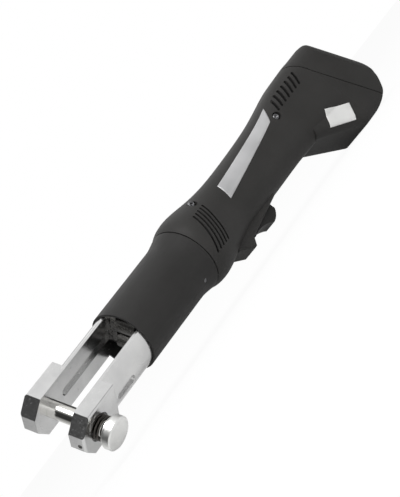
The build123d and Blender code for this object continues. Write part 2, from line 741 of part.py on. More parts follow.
def motor_magnets():
    x_front = X_MOTOR - 2 * MOTOR_END_WALL
    x_rear = X_MOTOR - MOTOR_LENGTH + 2 * MOTOR_END_WALL
    ring = ring_x(x_front, x_rear, MOTOR_RADIUS - MOTOR_CAN_WALL, magnet_inner())
    reach = MOTOR_RADIUS
    slope = math.tan(math.radians(90 - MAGNET_ARC / 2))
    sector = [(0, 0), (reach, reach * slope), (reach, reach), (-reach, reach), (-reach, reach * slope)]
    plane = Plane(origin=(x_rear - CUT, 0, 0), x_dir=(0, 1, 0), z_dir=(1, 0, 0))
    wedge = extrude(plane * make_face(Polyline(*sector, close=True)), x_front - x_rear + 2 * CUT)
    return Compound(children=[ring & wedge, ring & (Rot(180, 0, 0) * wedge)])


def motor_armature():
    x_front = X_MOTOR - 2 * MOTOR_END_WALL
    x_rear = X_MOTOR - MOTOR_LENGTH + 2 * MOTOR_END_WALL
    return ring_x(x_front, x_rear, magnet_inner() - AIR_GAP, SHAFT_RADIUS)


# Housing

def rounded_section(distance, half_width, top, bottom, corner, inset):
    """Rounded rectangle across the tool, this far behind the swivel seam."""
    plane = Plane(origin=(behind(distance), 0, (top - bottom) / 2), x_dir=(0, 1, 0), z_dir=(1, 0, 0))
    width = 2 * (half_width - inset)
    height = top + bottom - 2 * inset
    radius = min(corner - inset, ROUNDEST * min(width, height))
    return plane * RectangleRounded(width, height, radius)


def tail_behind():
    """How far behind the seam the flare has grown to the tail's full section."""
    return GRIP_BEHIND + GRIP_LENGTH + FLARE_LENGTH


def barrel(inset):
    """Ball, grip and flare as one smooth skin, drawn in by an inset."""
    grip_end = GRIP_BEHIND + GRIP_LENGTH
    grip = (GRIP_HALF_WIDTH, GRIP_TOP, GRIP_HALF_HEIGHT, GRIP_CORNER, inset)
    tail = (TAIL_HALF_WIDTH, TAIL_TOP, TAIL_BOTTOM, TAIL_CORNER, inset)
    sections = [
        rounded_section(SEAM_GAP, SEAM_RADIUS, SEAM_RADIUS, SEAM_RADIUS, SEAM_RADIUS, inset),
        rounded_section(BALL_BEHIND, BALL_RADIUS, BALL_RADIUS, BALL_RADIUS, BALL_RADIUS, inset),
        rounded_section(GRIP_BEHIND, *grip),
        rounded_section(GRIP_BEHIND + GRIP_LENGTH / 2, *grip),
        rounded_section(grip_end, GRIP_HALF_WIDTH, GRIP_END_TOP, GRIP_HALF_HEIGHT, GRIP_CORNER, inset),
        rounded_section(
            grip_end + FLARE_LENGTH / 2, FLARE_HALF_WIDTH, FLARE_TOP, FLARE_BOTTOM, FLARE_CORNER, inset
        ),
        rounded_section(tail_behind(), *tail),
        rounded_section(tail_behind() + TAIL_LENGTH, *tail),
    ]
    x_end = behind(tail_behind() + 2 * TAIL_LENGTH)
    past_flare = block(behind(tail_behind()), x_end, FOOT_BOTTOM, FOOT_BOTTOM, -FOOT_BOTTOM)
    return loft(sections) - past_flare


def tail(inset):
    """Straight tail behind the flare with its foot, trimmed to the slanted rear face."""
    start = tail_behind() - inset
    section = rounded_section(start, TAIL_HALF_WIDTH, TAIL_TOP, TAIL_BOTTOM, TAIL_CORNER, inset)
    straight = extrude(section, -TAIL_LENGTH - inset)
    return (straight + foot(inset)) & rear_trim(inset)


def rear_behind(z):
    """How far behind the seam the slanted rear face lies at a height."""
    return REAR_TOP_BEHIND + REAR_SLANT * (TAIL_TOP - z)


def foot(inset):
    """Wedge under the tail that widens rearward, drawn in by an inset."""
    fall = FOOT_BOTTOM - GRIP_HALF_HEIGHT
    drop = inset / math.cos(math.atan2(fall, FOOT_RAMP))
    bottom = FOOT_BOTTOM - inset
    ramp_end = FOOT_START + FOOT_RAMP * (fall + drop - inset) / fall
    end = REAR_TOP_BEHIND + TAIL_LENGTH
    side = [
        (behind(FOOT_START), drop - GRIP_HALF_HEIGHT),
        (behind(FOOT_START), 0),
        (behind(end), 0),
        (behind(end), -bottom),
        (behind(ramp_end), -bottom),
    ]
    plan = [
        (behind(FOOT_START), GRIP_HALF_WIDTH - inset),
        (behind(tail_behind()), TAIL_HALF_WIDTH - inset),
        (behind(end), TAIL_HALF_WIDTH - inset),
    ]
    whole_plan = plan + [(x, -y) for x, y in reversed(plan)]
    wedge = side_plate(side, TAIL_HALF_WIDTH)
    wedge &= extrude(make_face(Polyline(*whole_plan, close=True)), FOOT_BOTTOM + CUT, both=True)
    sides = wedge.edges().filter_by(lambda edge: abs(edge.center().Y) > CUT)
    low = sides.filter_by(lambda edge: edge.center().Z < -TAIL_BOTTOM)
    along = low.filter_by(lambda edge: edge.bounding_box().size.X > CUT)
    return fillet(along, FOOT_ROUND - inset)


def rear_trim(inset):
    """Space that the slanted, rounded rear end stays inside, drawn in by an inset."""
    high = BALL_RADIUS + FOOT_BOTTOM
    side = [
        (behind(-FOOT_BOTTOM), high),
        (behind(GRIP_BEHIND + GRIP_LENGTH), high),
        (behind(tail_behind()), TAIL_TOP + CUT),
        (behind(rear_behind(TAIL_TOP)), TAIL_TOP),
        (behind(rear_behind(-FOOT_BOTTOM)), -FOOT_BOTTOM),
        (behind(-FOOT_BOTTOM), -FOOT_BOTTOM),
    ]
    face = make_face(Polyline(*side, close=True))
    corners = face.vertices().sort_by(Axis.X)[:2].sort_by(Axis.Y)
    face = fillet(corners[0], REAR_KNEE_ROUND)
    top_corner = (behind(rear_behind(TAIL_TOP)), TAIL_TOP)
    face = fillet(face.vertices().sort_by_distance(top_corner)[0], REAR_TOP_ROUND)
    if inset:
        face = offset(face, -inset, kind=Kind.INTERSECTION)
    prism = extrude(Plane.XZ * face, 2 * TAIL_HALF_WIDTH, both=True)
    x_tail = behind(GRIP_BEHIND + GRIP_LENGTH)
    front = block(behind(-FOOT_BOTTOM), x_tail, 2 * TAIL_HALF_WIDTH, high, -high)
    return prism & (front + slanted_plan(inset))


def slanted_plan(inset):
    """Leaning prism with round rear corners that follow the slanted rear face."""
    length = behind(GRIP_BEHIND) - behind(rear_behind(0))
    half = TAIL_HALF_WIDTH + CUT - inset
    outline = Pos(length / 2 + inset - REAR_CREASE, 0) * Rectangle(length, 2 * half)
    rear = outline.vertices().sort_by(Axis.X)[:2]
    prism = extrude(fillet(rear, REAR_SIDE_ROUND - inset), length, both=True)
    lean = math.degrees(math.atan(REAR_SLANT))
    return Pos(behind(rear_behind(0)), 0, 0) * Rot(0, lean, 0) * prism


def trigger_block(inset):
    """Swelling under the ball that carries the switch, with a nose ahead of the trigger."""
    side = [
        (behind(BLOCK_START), 0),
        (behind(BLOCK_START), -BALL_RADIUS + WALL),
        (behind(NOSE_BEHIND), -NOSE_BOTTOM),
        (behind(NOSE_BEHIND + NOSE_FLAT), -NOSE_BOTTOM),
        (behind(CHEEK_BEHIND), -CHEEK_BOTTOM),
        (behind(CHEEK_END), -GRIP_HALF_HEIGHT),
        (behind(CHEEK_END), 0),
    ]
    if inset:
        face = offset(make_face(Polyline(*side, close=True)), -inset, kind=Kind.INTERSECTION)
        return extrude(Plane.XZ * face, BLOCK_HALF_WIDTH - inset, both=True)
    plate = side_plate(side, BLOCK_HALF_WIDTH)
    low = plate.edges().filter_by(lambda edge: edge.center().Z < -GRIP_HALF_HEIGHT)
    return fillet(low.filter_by(lambda edge: abs(edge.center().Y) > CUT), BLOCK_EDGE_ROUND)


def outer_body():
    """Whole outside of housing and battery pack."""
    return barrel(0) + tail(0) + trigger_block(0)


def hollowed(body):
    """Skin that is left when the inside is cut from a body."""
    return body - barrel(WALL) - tail(WALL) - trigger_block(WALL)


def behind_seam(gap):
    """Space behind the slanted seam between housing and pack, from a gap ahead of it."""
    lift = BALL_RADIUS + FOOT_BOTTOM
    seam = PACK_THICKNESS + gap
    end = behind(rear_behind(-lift) + PACK_THICKNESS)
    side = [
        (end, lift),
        (behind(rear_behind(lift) - seam), lift),
        (behind(rear_behind(-lift) - seam), -lift),
        (end, -lift),
    ]
    return side_plate(side, lift)


def rib_at(distance, hole):
    """Cross wall in grip or flare, rooted in the skin, with a seat cut through it."""
    share = max(0, (distance - GRIP_BEHIND - GRIP_LENGTH) / (FLARE_LENGTH / 2))
    half_width = GRIP_HALF_WIDTH + share * (FLARE_HALF_WIDTH - GRIP_HALF_WIDTH)
    top = GRIP_END_TOP + share * (FLARE_TOP - GRIP_END_TOP)
    bottom = GRIP_HALF_HEIGHT + share * (FLARE_BOTTOM - GRIP_HALF_HEIGHT)
    corner = GRIP_CORNER + share * (FLARE_CORNER - GRIP_CORNER)
    return extrude(rounded_section(distance, half_width, top, bottom, corner, WALL / 2), -RIB) - hole


def vent_bar(length, width, lean, distance, height):
    """Pair of leaning slot cutters, one through each side wall."""
    slot = Plane.XZ * Rot(0, 0, 90 + lean) * SlotOverall(length, width)
    bar = extrude(slot, BALL_RADIUS + CUT, both=True)
    core = block(length, -length, VENT_INNER, length, -length)
    return Pos(behind(distance), 0, height) * (bar - core)


def vent_bars():
    bars = []
    for index in range(FRONT_VENTS):
        distance = FRONT_VENT_BEHIND + index * FRONT_VENT_PITCH
        bars.append(vent_bar(FRONT_VENT_LENGTH, FRONT_VENT_WIDTH, FRONT_VENT_LEAN, distance, 0))
    for index in range(REAR_VENTS):
        distance = REAR_VENT_BEHIND + index * REAR_VENT_PITCH
        bars.append(vent_bar(REAR_VENT_LENGTH, REAR_VENT_WIDTH, REAR_VENT_LEAN, distance, REAR_VENT_HEIGHT))
    return bars


def screw_at(place, radius, head_end, thread_end):
    """Cylinder along a housing screw, whose head is on the side that its place names."""
    distance, height, _, side = place
    y_right, y_left = sorted((side * head_end, side * thread_end))
    return along_y(y_left, y_right, radius, behind(distance), height)


def trigger_slot():
    """Opening for the trigger in the underside of block and grip."""
    x_front = behind(TRIGGER_TOE_BEHIND - TRIGGER_SLOT_END)
    x_rear = behind(TRIGGER_HEEL_BEHIND + TRIGGER_SLOT_END)
    return block(x_front, x_rear, TRIGGER_HALF_WIDTH + SLIP, -MOTOR_RADIUS - SLIP, -FOOT_BOTTOM)


def housing_ribs():
    """Cross walls that seat swivel ring, ring gear, motor, board and terminals."""
    motor_seat = along_x(X_MOTOR, X_MOTOR - MOTOR_LENGTH, MOTOR_RADIUS)
    ring_seat = GEAR_MODULE * (RING_TEETH / 2 + GEAR_DEDENDUM) + RING_RIM
    swivel_seat = PUMP_NECK_RADIUS + RUN_FIT + SWIVEL_RING_WALL
    x_ring = X_GEARS - (GEAR_WIDTH - RIB) / 2
    above_board = block(X_SEAM, behind(TERMINAL_BEHIND), TAIL_HALF_WIDTH, FOOT_BOTTOM, BOARD_HEIGHT)
    leads = block(X_SEAM, behind(TERMINAL_BEHIND), TERMINAL_HALF_WIDTH, 0, -TERMINAL_HALF_HEIGHT)
    return [
        ring_x(X_SWIVEL, X_SWIVEL - SWIVEL_RING_WIDTH, SEAM_RADIUS - WALL / 2, swivel_seat),
        ring_x(x_ring, x_ring - RIB, BALL_RADIUS - WALL / 2, ring_seat),
        rib_at(FRONT_RIB_BEHIND, motor_seat),
        rib_at(REAR_RIB_BEHIND, motor_seat),
        rib_at(BOARD_BEHIND + BOARD_SEAT - RIB, above_board + leads),
        rib_at(BOARD_BEHIND + BOARD_LENGTH - BOARD_SEAT, above_board + leads),
        rib_at(TERMINAL_BEHIND + (TERMINAL_LENGTH - RIB) / 2, terminal_outside()),
    ]


def housing_halves(outer):
    """Left and right moulded shells with their ribs, bosses, vents and openings."""
    shell = hollowed(outer - behind_seam(SEAM_GAP))
    for rib in housing_ribs():
        shell += rib
    for place in SCREW_PLACES:
        shell += screw_at(place, SCREW_BOSS_RADIUS, BALL_RADIUS, -BALL_RADIUS) & outer
    for place in SCREW_PLACES:
        shell -= screw_at(place, SCREW_RADIUS, place[2] + CUT, -SCREW_GRIP)
        shell -= screw_at(place, SCREW_RECESS_RADIUS, 2 * BALL_RADIUS, place[2])
    shell -= vent_bars()
    shell -= trigger_slot()
    shell -= trigger_pin()
    reach = 2 * FOOT_BOTTOM
    length = 2 * rear_behind(-reach)
    left_space = Pos(behind(TERMINAL_BEHIND), reach / 2, 0) * Box(length, reach, 2 * reach)
    return shell & left_space, shell - left_space


def housing_screws():
    screws = []
    for place in SCREW_PLACES:
        seat = place[2]
        head = screw_at(place, SCREW_HEAD_RADIUS, seat + SCREW_HEAD_LENGTH, seat)
        screws.append(head + screw_at(place, SCREW_RADIUS, seat, -SCREW_GRIP))
    return Compound(children=screws)


# Trigger and switch

def trigger_pin():
    half = BLOCK_HALF_WIDTH - WALL + TRIGGER_PIN_SEAT
    return along_y(half, -half, TRIGGER_PIN_RADIUS, behind(TRIGGER_PIVOT_BEHIND), -TRIGGER_PIVOT_DROP)


def trigger():
    """Finger lever with a scooped front, hung on a cross pin."""
    toe = (behind(TRIGGER_TOE_BEHIND), -TRIGGER_TOE_DROP)
    tip = (behind(TRIGGER_TIP_BEHIND), -TRIGGER_TIP_DROP)
    heel = (behind(TRIGGER_HEEL_BEHIND), -TRIGGER_HEEL_DROP)
    heel_top = (behind(TRIGGER_HEEL_BEHIND), -TRIGGER_HEEL_TOP_DROP)
    roof = (behind(TRIGGER_PIVOT_BEHIND), -TRIGGER_ROOF_DROP)
    brow = (behind(TRIGGER_TOE_BEHIND), -TRIGGER_PIVOT_DROP)
    scoop = ((toe[0] + tip[0]) / 2, (toe[1] + tip[1]) / 2 + TRIGGER_SCOOP_SAG)
    bulge = ((heel[0] + tip[0]) / 2, (heel[1] + tip[1]) / 2 - TRIGGER_TIP_BULGE)
    edges = [
        ThreePointArc(toe, scoop, tip),
        ThreePointArc(tip, bulge, heel),
        Line(heel, heel_top),
        Line(heel_top, roof),
        Line(roof, brow),
        Line(brow, toe),
    ]
    lever = extrude(Plane.XZ * make_face(edges), TRIGGER_HALF_WIDTH, both=True)
    pivot = (behind(TRIGGER_PIVOT_BEHIND), -TRIGGER_PIVOT_DROP)
    lever -= along_y(2 * TRIGGER_HALF_WIDTH, -2 * TRIGGER_HALF_WIDTH, TRIGGER_PIN_RADIUS + RUN_FIT, *pivot)
    notch = TRIGGER_SPRING_HALF_WIDTH + SLIP
    return lever - along_y(notch, -notch, TRIGGER_EYE + 2 * SLIP, *pivot)


def trigger_spring():
    """Torsion spring's coil on the trigger's pin."""
    half = TRIGGER_SPRING_HALF_WIDTH
    pivot = (behind(TRIGGER_PIVOT_BEHIND), -TRIGGER_PIVOT_DROP)
    coil = along_y(half, -half, TRIGGER_PIN_RADIUS + TRIGGER_SPRING_WALL, *pivot)
    return coil - along_y(half + CUT, -half - CUT, TRIGGER_PIN_RADIUS, *pivot)


def switch_module():
    x_front = behind(SWITCH_BEHIND)
    x_rear = x_front - SWITCH_LENGTH
    bottom = -SWITCH_TOP - SWITCH_HEIGHT
    body = block(x_front, x_rear, BLOCK_HALF_WIDTH - WALL - SLIP, -SWITCH_TOP, bottom)
    nub = along_x(x_rear, behind(TRIGGER_TOE_BEHIND) + SLIP, SWITCH_PLUNGER_RADIUS)
    return body + Pos(0, 0, (bottom - SWITCH_TOP) / 2 - SWITCH_PLUNGER_RADIUS) * nub


# Electronics

def control_board():
    """Circuit board on two ribs, with its large components."""
    x_front = behind(BOARD_BEHIND)
    top = BOARD_HEIGHT + BOARD_THICKNESS
    board = block(x_front, x_front - BOARD_LENGTH, BOARD_HALF_WIDTH, top, BOARD_HEIGHT)
    for index in range(CHIPS):
        x_chip = x_front - BOARD_LENGTH * (index + 1) / (CHIPS + 1)
        board += Pos(x_chip, 0, top + CHIP_HEIGHT / 2) * Box(CHIP_SIZE, CHIP_SIZE, CHIP_HEIGHT)
    return board


def terminal_outside():
    x_front = behind(TERMINAL_BEHIND)
    half = TERMINAL_HALF_HEIGHT
    return block(x_front, x_front - TERMINAL_LENGTH, TERMINAL_HALF_WIDTH, half, -half)


def contact_blade(side, room):
    """One upright contact blade on the pack's stem; with room around it, its slot."""
    x_rear = behind(STEM_BEHIND)
    blade = Box(CONTACT_LENGTH + room, CONTACT_THICKNESS + 2 * room, 2 * (CONTACT_HALF_WIDTH + room))
    return Pos(x_rear + (CONTACT_LENGTH + room) / 2, side * CONTACT_SPREAD, 0) * blade


def terminal_block():
    body = terminal_outside()
    for side in (1, -1):
        body -= contact_blade(side, 2 * SLIP)
    return body


# Battery pack

def stem_section(inset, x_front, x_rear):
    """Rounded bar along the pack's stem, drawn in by an inset."""
    width = 2 * (STEM_HALF - inset)
    plane = Plane(origin=(x_rear, 0, STEM_CENTRE), x_dir=(0, 1, 0), z_dir=(1, 0, 0))
    return extrude(plane * RectangleRounded(width, width, CELL_RADIUS + STEM_WALL - inset), x_front - x_rear)


def stem_rear():
    """X where the cell tray ends, inside the pack's cap."""
    return behind(STEM_BEHIND + STEM_WALL + SLIP + CELL_LENGTH + SLIP)


def battery_case(outer):
    """Slanted end cap with a wall at the seam, and the tray for the cells ahead of it."""
    cap = outer & behind_seam(-SEAM_GAP)
    inside = behind_seam(-SEAM_GAP - WALL)
    cap -= barrel(WALL) & inside
    cap -= tail(WALL) & inside
    cap += stem_section(0, behind(STEM_BEHIND), stem_rear() - STEM_WALL)
    cap -= stem_section(STEM_WALL, behind(STEM_BEHIND + STEM_WALL), stem_rear())
    return cap - latch_bar(SLIP, LATCH_DEPTH)


def battery_cells():
    x_front = behind(STEM_BEHIND + STEM_WALL + SLIP)
    half = CELL_PITCH / 2
    return Compound(children=[
        Pos(0, side * half, STEM_CENTRE + level * half) * along_x(x_front, x_front - CELL_LENGTH, CELL_RADIUS)
        for side in (1, -1)
        for level in (1, -1)
    ])


def battery_contacts():
    return Compound(children=[contact_blade(side, 0) for side in (1, -1)])


def latch_bar(room, past):
    """Release button through the cap's rear wall; with room and a run past it, its hole."""
    x_rear = behind(rear_behind(LATCH_HEIGHT))
    bar = block(
        x_rear + LATCH_DEPTH + room,
        x_rear - LATCH_DEPTH,
        LATCH_HALF_WIDTH + room,
        LATCH_HEIGHT + LATCH_HALF_HEIGHT + room,
        LATCH_HEIGHT - LATCH_HALF_HEIGHT - room,
    )
    reach = FOOT_BOTTOM
    side = [
        (behind(rear_behind(reach) + past), reach),
        (behind(rear_behind(-reach) + past), -reach),
        (X_SEAM, -reach),
        (X_SEAM, reach),
    ]
    return bar & side_plate(side, reach)


def battery_latch():
    return latch_bar(0, LATCH_PROUD)


def write(name, shape):
    """Write one piece as a named STEP file."""
    shape.label = name
    export_step(shape, f"parts/{name}.step")


def main():
    os.makedirs("parts", exist_ok=True)
    outer = outer_body()
    left, right = housing_halves(outer)
    head = {
        "fork_yoke": fork_yoke(),
        "bolt_stop_screw": bolt_stop_screw(),
        "locking_bolt": locking_bolt(),
        "bolt_knob": bolt_knob(),
        "thrust_washer": thrust_washer(),
        "bolt_spring": bolt_spring(),
        "press_cylinder": press_cylinder(),
        "oil_bladder": oil_bladder(),
        "rod_seal": rod_seal(),
        "ram_piston": ram_piston(),
        "piston_seal": piston_seal(),
        "return_spring": return_spring(),
        "roller_carrier": roller_carrier(),
        "roller_axles": roller_axles(),
        "upper_roller": press_roller(1),
        "lower_roller": press_roller(-1),
        "head_sleeve": head_sleeve(),
        "sleeve_screw": sleeve_screw_shape(),
        "pump_block": pump_block(),
        "pump_plunger": plunger_shape(),
        "pump_bush": pump_bush(),
        "relief_valve": valve_shape(),
        "swivel_retainer": swivel_retainer(),
    }
    body = {
        "left_housing": left,
        "right_housing": right,
        "housing_screws": housing_screws(),
        "swivel_ring": swivel_ring(),
        "ring_gear": ring_gear(),
        "planet_carrier": planet_carrier(),
        "motor_shaft": motor_shaft(),
        "cooling_fan": cooling_fan(),
        "motor_can": motor_can(),
        "motor_magnets": motor_magnets(),
        "motor_armature": motor_armature(),
        "trigger": trigger(),
        "trigger_pin": trigger_pin(),
        "trigger_spring": trigger_spring(),
        "switch_module": switch_module(),
        "control_board": control_board(),
        "terminal_block": terminal_block(),
        "battery_case": battery_case(outer),
        "battery_cells": battery_cells(),
        "battery_contacts": battery_contacts(),
        "battery_latch": battery_latch(),
    }
    for index in range(PLANETS):
        body[f"planet_gear_{index + 1}"] = planet_gear(index)
    for name, shape in head.items():
        write(name, in_head(shape))
    for name, shape in body.items():
        write(name, shape)


main()
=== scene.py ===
import json
import math

import bpy
import bmesh
from mathutils import Matrix, Vector
from mathutils.bvhtree import BVHTree
from mathutils.kdtree import KDTree


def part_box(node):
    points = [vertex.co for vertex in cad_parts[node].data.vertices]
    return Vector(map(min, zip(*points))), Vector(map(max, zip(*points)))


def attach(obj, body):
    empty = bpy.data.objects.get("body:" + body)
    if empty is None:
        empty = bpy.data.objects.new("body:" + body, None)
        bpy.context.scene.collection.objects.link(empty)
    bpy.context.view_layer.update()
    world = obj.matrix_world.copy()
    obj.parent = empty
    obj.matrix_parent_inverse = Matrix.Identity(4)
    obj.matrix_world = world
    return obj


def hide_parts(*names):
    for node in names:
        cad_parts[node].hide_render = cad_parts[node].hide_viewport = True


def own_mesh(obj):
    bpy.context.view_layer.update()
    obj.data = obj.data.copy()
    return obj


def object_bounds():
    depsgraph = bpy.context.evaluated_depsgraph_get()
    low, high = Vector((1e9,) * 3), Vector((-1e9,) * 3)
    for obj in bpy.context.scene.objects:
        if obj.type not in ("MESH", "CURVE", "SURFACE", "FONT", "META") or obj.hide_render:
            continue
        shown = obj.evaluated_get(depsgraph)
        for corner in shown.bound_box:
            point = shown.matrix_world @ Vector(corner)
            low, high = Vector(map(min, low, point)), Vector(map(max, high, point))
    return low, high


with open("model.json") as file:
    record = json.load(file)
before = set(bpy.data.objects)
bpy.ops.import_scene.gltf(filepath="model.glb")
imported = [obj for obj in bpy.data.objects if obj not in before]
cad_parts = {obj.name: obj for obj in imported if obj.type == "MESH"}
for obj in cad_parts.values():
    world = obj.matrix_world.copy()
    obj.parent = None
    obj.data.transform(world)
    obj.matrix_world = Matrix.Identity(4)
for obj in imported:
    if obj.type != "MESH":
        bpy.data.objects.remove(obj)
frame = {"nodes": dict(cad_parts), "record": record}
cad_low, cad_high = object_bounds()
nodes = frame["nodes"]
scene = bpy.context.scene

# Where things are, in metres.
SEAM_X = -0.1735                 # the swivel seam between head and housing
HEAD_ROLL = math.radians(-59.0)  # turn of the fork about the tool's axis
PHOTO_WIDTH = 400                # pixels
FOCAL_PIXELS = 1740.0
CAMERA_AT = Vector((0.62289, 1.13452, 0.00041))
CAMERA_RIGHT = Vector((-0.49162, 0.35605, -0.79469))
CAMERA_UP = Vector((-0.64618, 0.46260, 0.60700))
CAMERA_AHEAD = Vector((-0.58375, -0.81193, -0.00265))


class Shade:
    """A node material with one Principled shader, built by short calls."""

    def __init__(self, name):
        self.material = bpy.data.materials.new(name)
        self.material.use_nodes = True
        self.tree = self.material.node_tree
        self.shader = self.tree.nodes["Principled BSDF"]
        self.place = self.add("ShaderNodeTexCoord").outputs["Object"]

    def add(self, kind, **settings):
        node = self.tree.nodes.new(kind)
        for name, value in settings.items():
            setattr(node, name, value)
        return node

    def join(self, out, into):
        self.tree.links.new(out, into)

    def set(self, **values):
        for name, value in values.items():
            socket = self.shader.inputs[name.replace("_", " ")]
            socket.default_value = (*value, 1.0) if isinstance(value, tuple) else value

    def mapped(self, scale=(1, 1, 1), rotation=(0, 0, 0)):
        node = self.add("ShaderNodeMapping")
        node.inputs["Scale"].default_value = scale
        node.inputs["Rotation"].default_value = rotation
        self.join(self.place, node.inputs["Vector"])
        return node.outputs["Vector"]

    def noise(self, scale, detail=3.0, rough=0.55, where=None):
        node = self.add("ShaderNodeTexNoise")
        node.inputs["Scale"].default_value = scale
        node.inputs["Detail"].default_value = detail
        node.inputs["Roughness"].default_value = rough
        self.join(where or self.place, node.inputs["Vector"])
        return node.outputs["Fac"]

    def wave(self, scale, rings=True, distortion=0.0, where=None):
        node = self.add("ShaderNodeTexWave", wave_type="RINGS" if rings else "BANDS")
        if rings:
            node.rings_direction = "Z"
        else:
            node.bands_direction = "Z"
        node.inputs["Scale"].default_value = scale
        node.inputs["Distortion"].default_value = distortion
        node.inputs["Detail"].default_value = 2.0
        self.join(where or self.place, node.inputs["Vector"])
        return node.outputs["Fac"]

    def ramp(self, fac, stops):
        node = self.add("ShaderNodeValToRGB")
        elements = node.color_ramp.elements
        while len(elements) < len(stops):
            elements.new(0.5)
        for element, (at, colour) in zip(elements, stops):
            element.position = at
            element.color = (*colour, 1.0)
        self.join(fac, node.inputs["Fac"])
        return node.outputs["Color"]

    def span(self, fac, low, high, start=0.3, end=0.7):
        node = self.add("ShaderNodeMapRange")
        node.inputs["From Min"].default_value = start
        node.inputs["From Max"].default_value = end
        node.inputs["To Min"].default_value = low
        node.inputs["To Max"].default_value = high
        self.join(fac, node.inputs["Value"])
        return node.outputs["Result"]

    def bump(self, height, strength, distance, under=None):
        node = self.add("ShaderNodeBump")
        node.inputs["Strength"].default_value = strength
        node.inputs["Distance"].default_value = distance
        self.join(height, node.inputs["Height"])
        if under:
            self.join(under, node.inputs["Normal"])
        return node.outputs["Normal"]

    def finish(self, colour=None, roughness=None, normal=None):
        if colour:
            self.join(colour, self.shader.inputs["Base Color"])
        if roughness:
            self.join(roughness, self.shader.inputs["Roughness"])
        if normal:
            self.join(normal, self.shader.inputs["Normal"])
        return self.material


def moulded(name, dark, light, smooth, rough, grain=1500.0, depth=0.00006):
    """Moulded plastic: spark-eroded grain, slow tone changes and faint handling marks."""
    s = Shade(name)
    tone = s.noise(28.0, 4.0)
    fine = s.noise(grain, 2.0, 0.6)
    marks = s.noise(420.0, 6.0, 0.7, s.mapped((1.0, 3.0, 3.0)))
    colour = s.ramp(tone, [(0.3, dark), (0.7, light)])
    roughness = s.span(marks, smooth, rough)
    waves = s.bump(s.noise(90.0, 1.0), 0.06, 0.0004)
    normal = s.bump(fine, 0.35, depth, waves)
    s.set(Specular_IOR_Level=0.22)
    return s.finish(colour, roughness, normal)


def metal(name, dark, light, smooth, rough, grain=900.0, stretch=(1, 1, 1), depth=0.00002, pits=0.0):
    """Metal with a drawn or blasted grain; a stretch below 1 lengthens the grain along that axis."""
    s = Shade(name)
    s.set(Metallic=1.0)
    grains = s.noise(grain, 4.0, 0.6, s.mapped(stretch))
    cloud = s.noise(45.0, 3.0)
    colour = s.ramp(cloud, [(0.3, dark), (0.7, light)])
    roughness = s.span(grains, smooth, rough)
    under = s.bump(s.noise(160.0, 2.0), pits, 0.0003) if pits else None
    normal = s.bump(grains, 0.25, depth, under)
    return s.finish(colour, roughness, normal)


WAVE_FACTOR = 20.0  # the wave texture counts its scale in twentieths


def turned(name, dark, light, smooth, rough, pitch=0.00035, rotation=(0, 0, 0), depth=0.00002):
    """Turned metal: tool marks as rings on end faces and bands along the round side."""
    s = Shade(name)
    s.set(Metallic=1.0)
    along = s.mapped((1, 1, 1), rotation)
    turns = 2.0 * math.pi / (WAVE_FACTOR * pitch)
    rings = s.wave(turns, True, 0.6, along)
    bands = s.wave(turns, False, 0.6, along)
    cloud = s.noise(70.0, 4.0)
    fine = s.noise(1300.0, 2.0)
    colour = s.ramp(cloud, [(0.3, dark), (0.7, light)])
    roughness = s.span(fine, smooth, rough)
    normal = s.bump(bands, 0.3, depth, s.bump(rings, 0.3, depth))
    return s.finish(colour, roughness, normal)


def painted(name, dark, light, smooth, rough):
    """Stoved black coating over steel: a low orange peel and a slow tone change."""
    s = Shade(name)
    peel = s.noise(520.0, 2.0, 0.45)
    tone = s.noise(20.0, 4.0)
    rub = s.noise(240.0, 5.0, 0.7, s.mapped((0.35, 1.0, 1.0)))
    colour = s.ramp(tone, [(0.3, dark), (0.7, light)])
    roughness = s.span(rub, smooth, rough)
    normal = s.bump(peel, 0.16, 0.00006)
    s.set(Specular_IOR_Level=0.2)
    return s.finish(colour, roughness, normal)


def circuit(name):
    """Green laminate with paler tracks and a matt resist."""
    s = Shade(name)
    brick = s.add("ShaderNodeTexBrick")
    brick.inputs["Scale"].default_value = 260.0
    brick.inputs["Mortar Size"].default_value = 0.06
    brick.inputs["Color1"].default_value = (0.012, 0.09, 0.03, 1)
    brick.inputs["Color2"].default_value = (0.016, 0.11, 0.04, 1)
    brick.inputs["Mortar"].default_value = (0.05, 0.22, 0.09, 1)
    s.join(s.place, brick.inputs["Vector"])
    roughness = s.span(s.noise(800.0), 0.32, 0.5)
    normal = s.bump(brick.outputs["Fac"], 0.2, 0.00005)
    return s.finish(brick.outputs["Color"], roughness, normal)


# The knob's turning axis is the bolt's, which is Y in the fork, turned with the head.
KNOB_TURN = (math.pi / 2 - HEAD_ROLL, 0.0, 0.0)
ALONG_X = (0.0, math.pi / 2, 0.0)

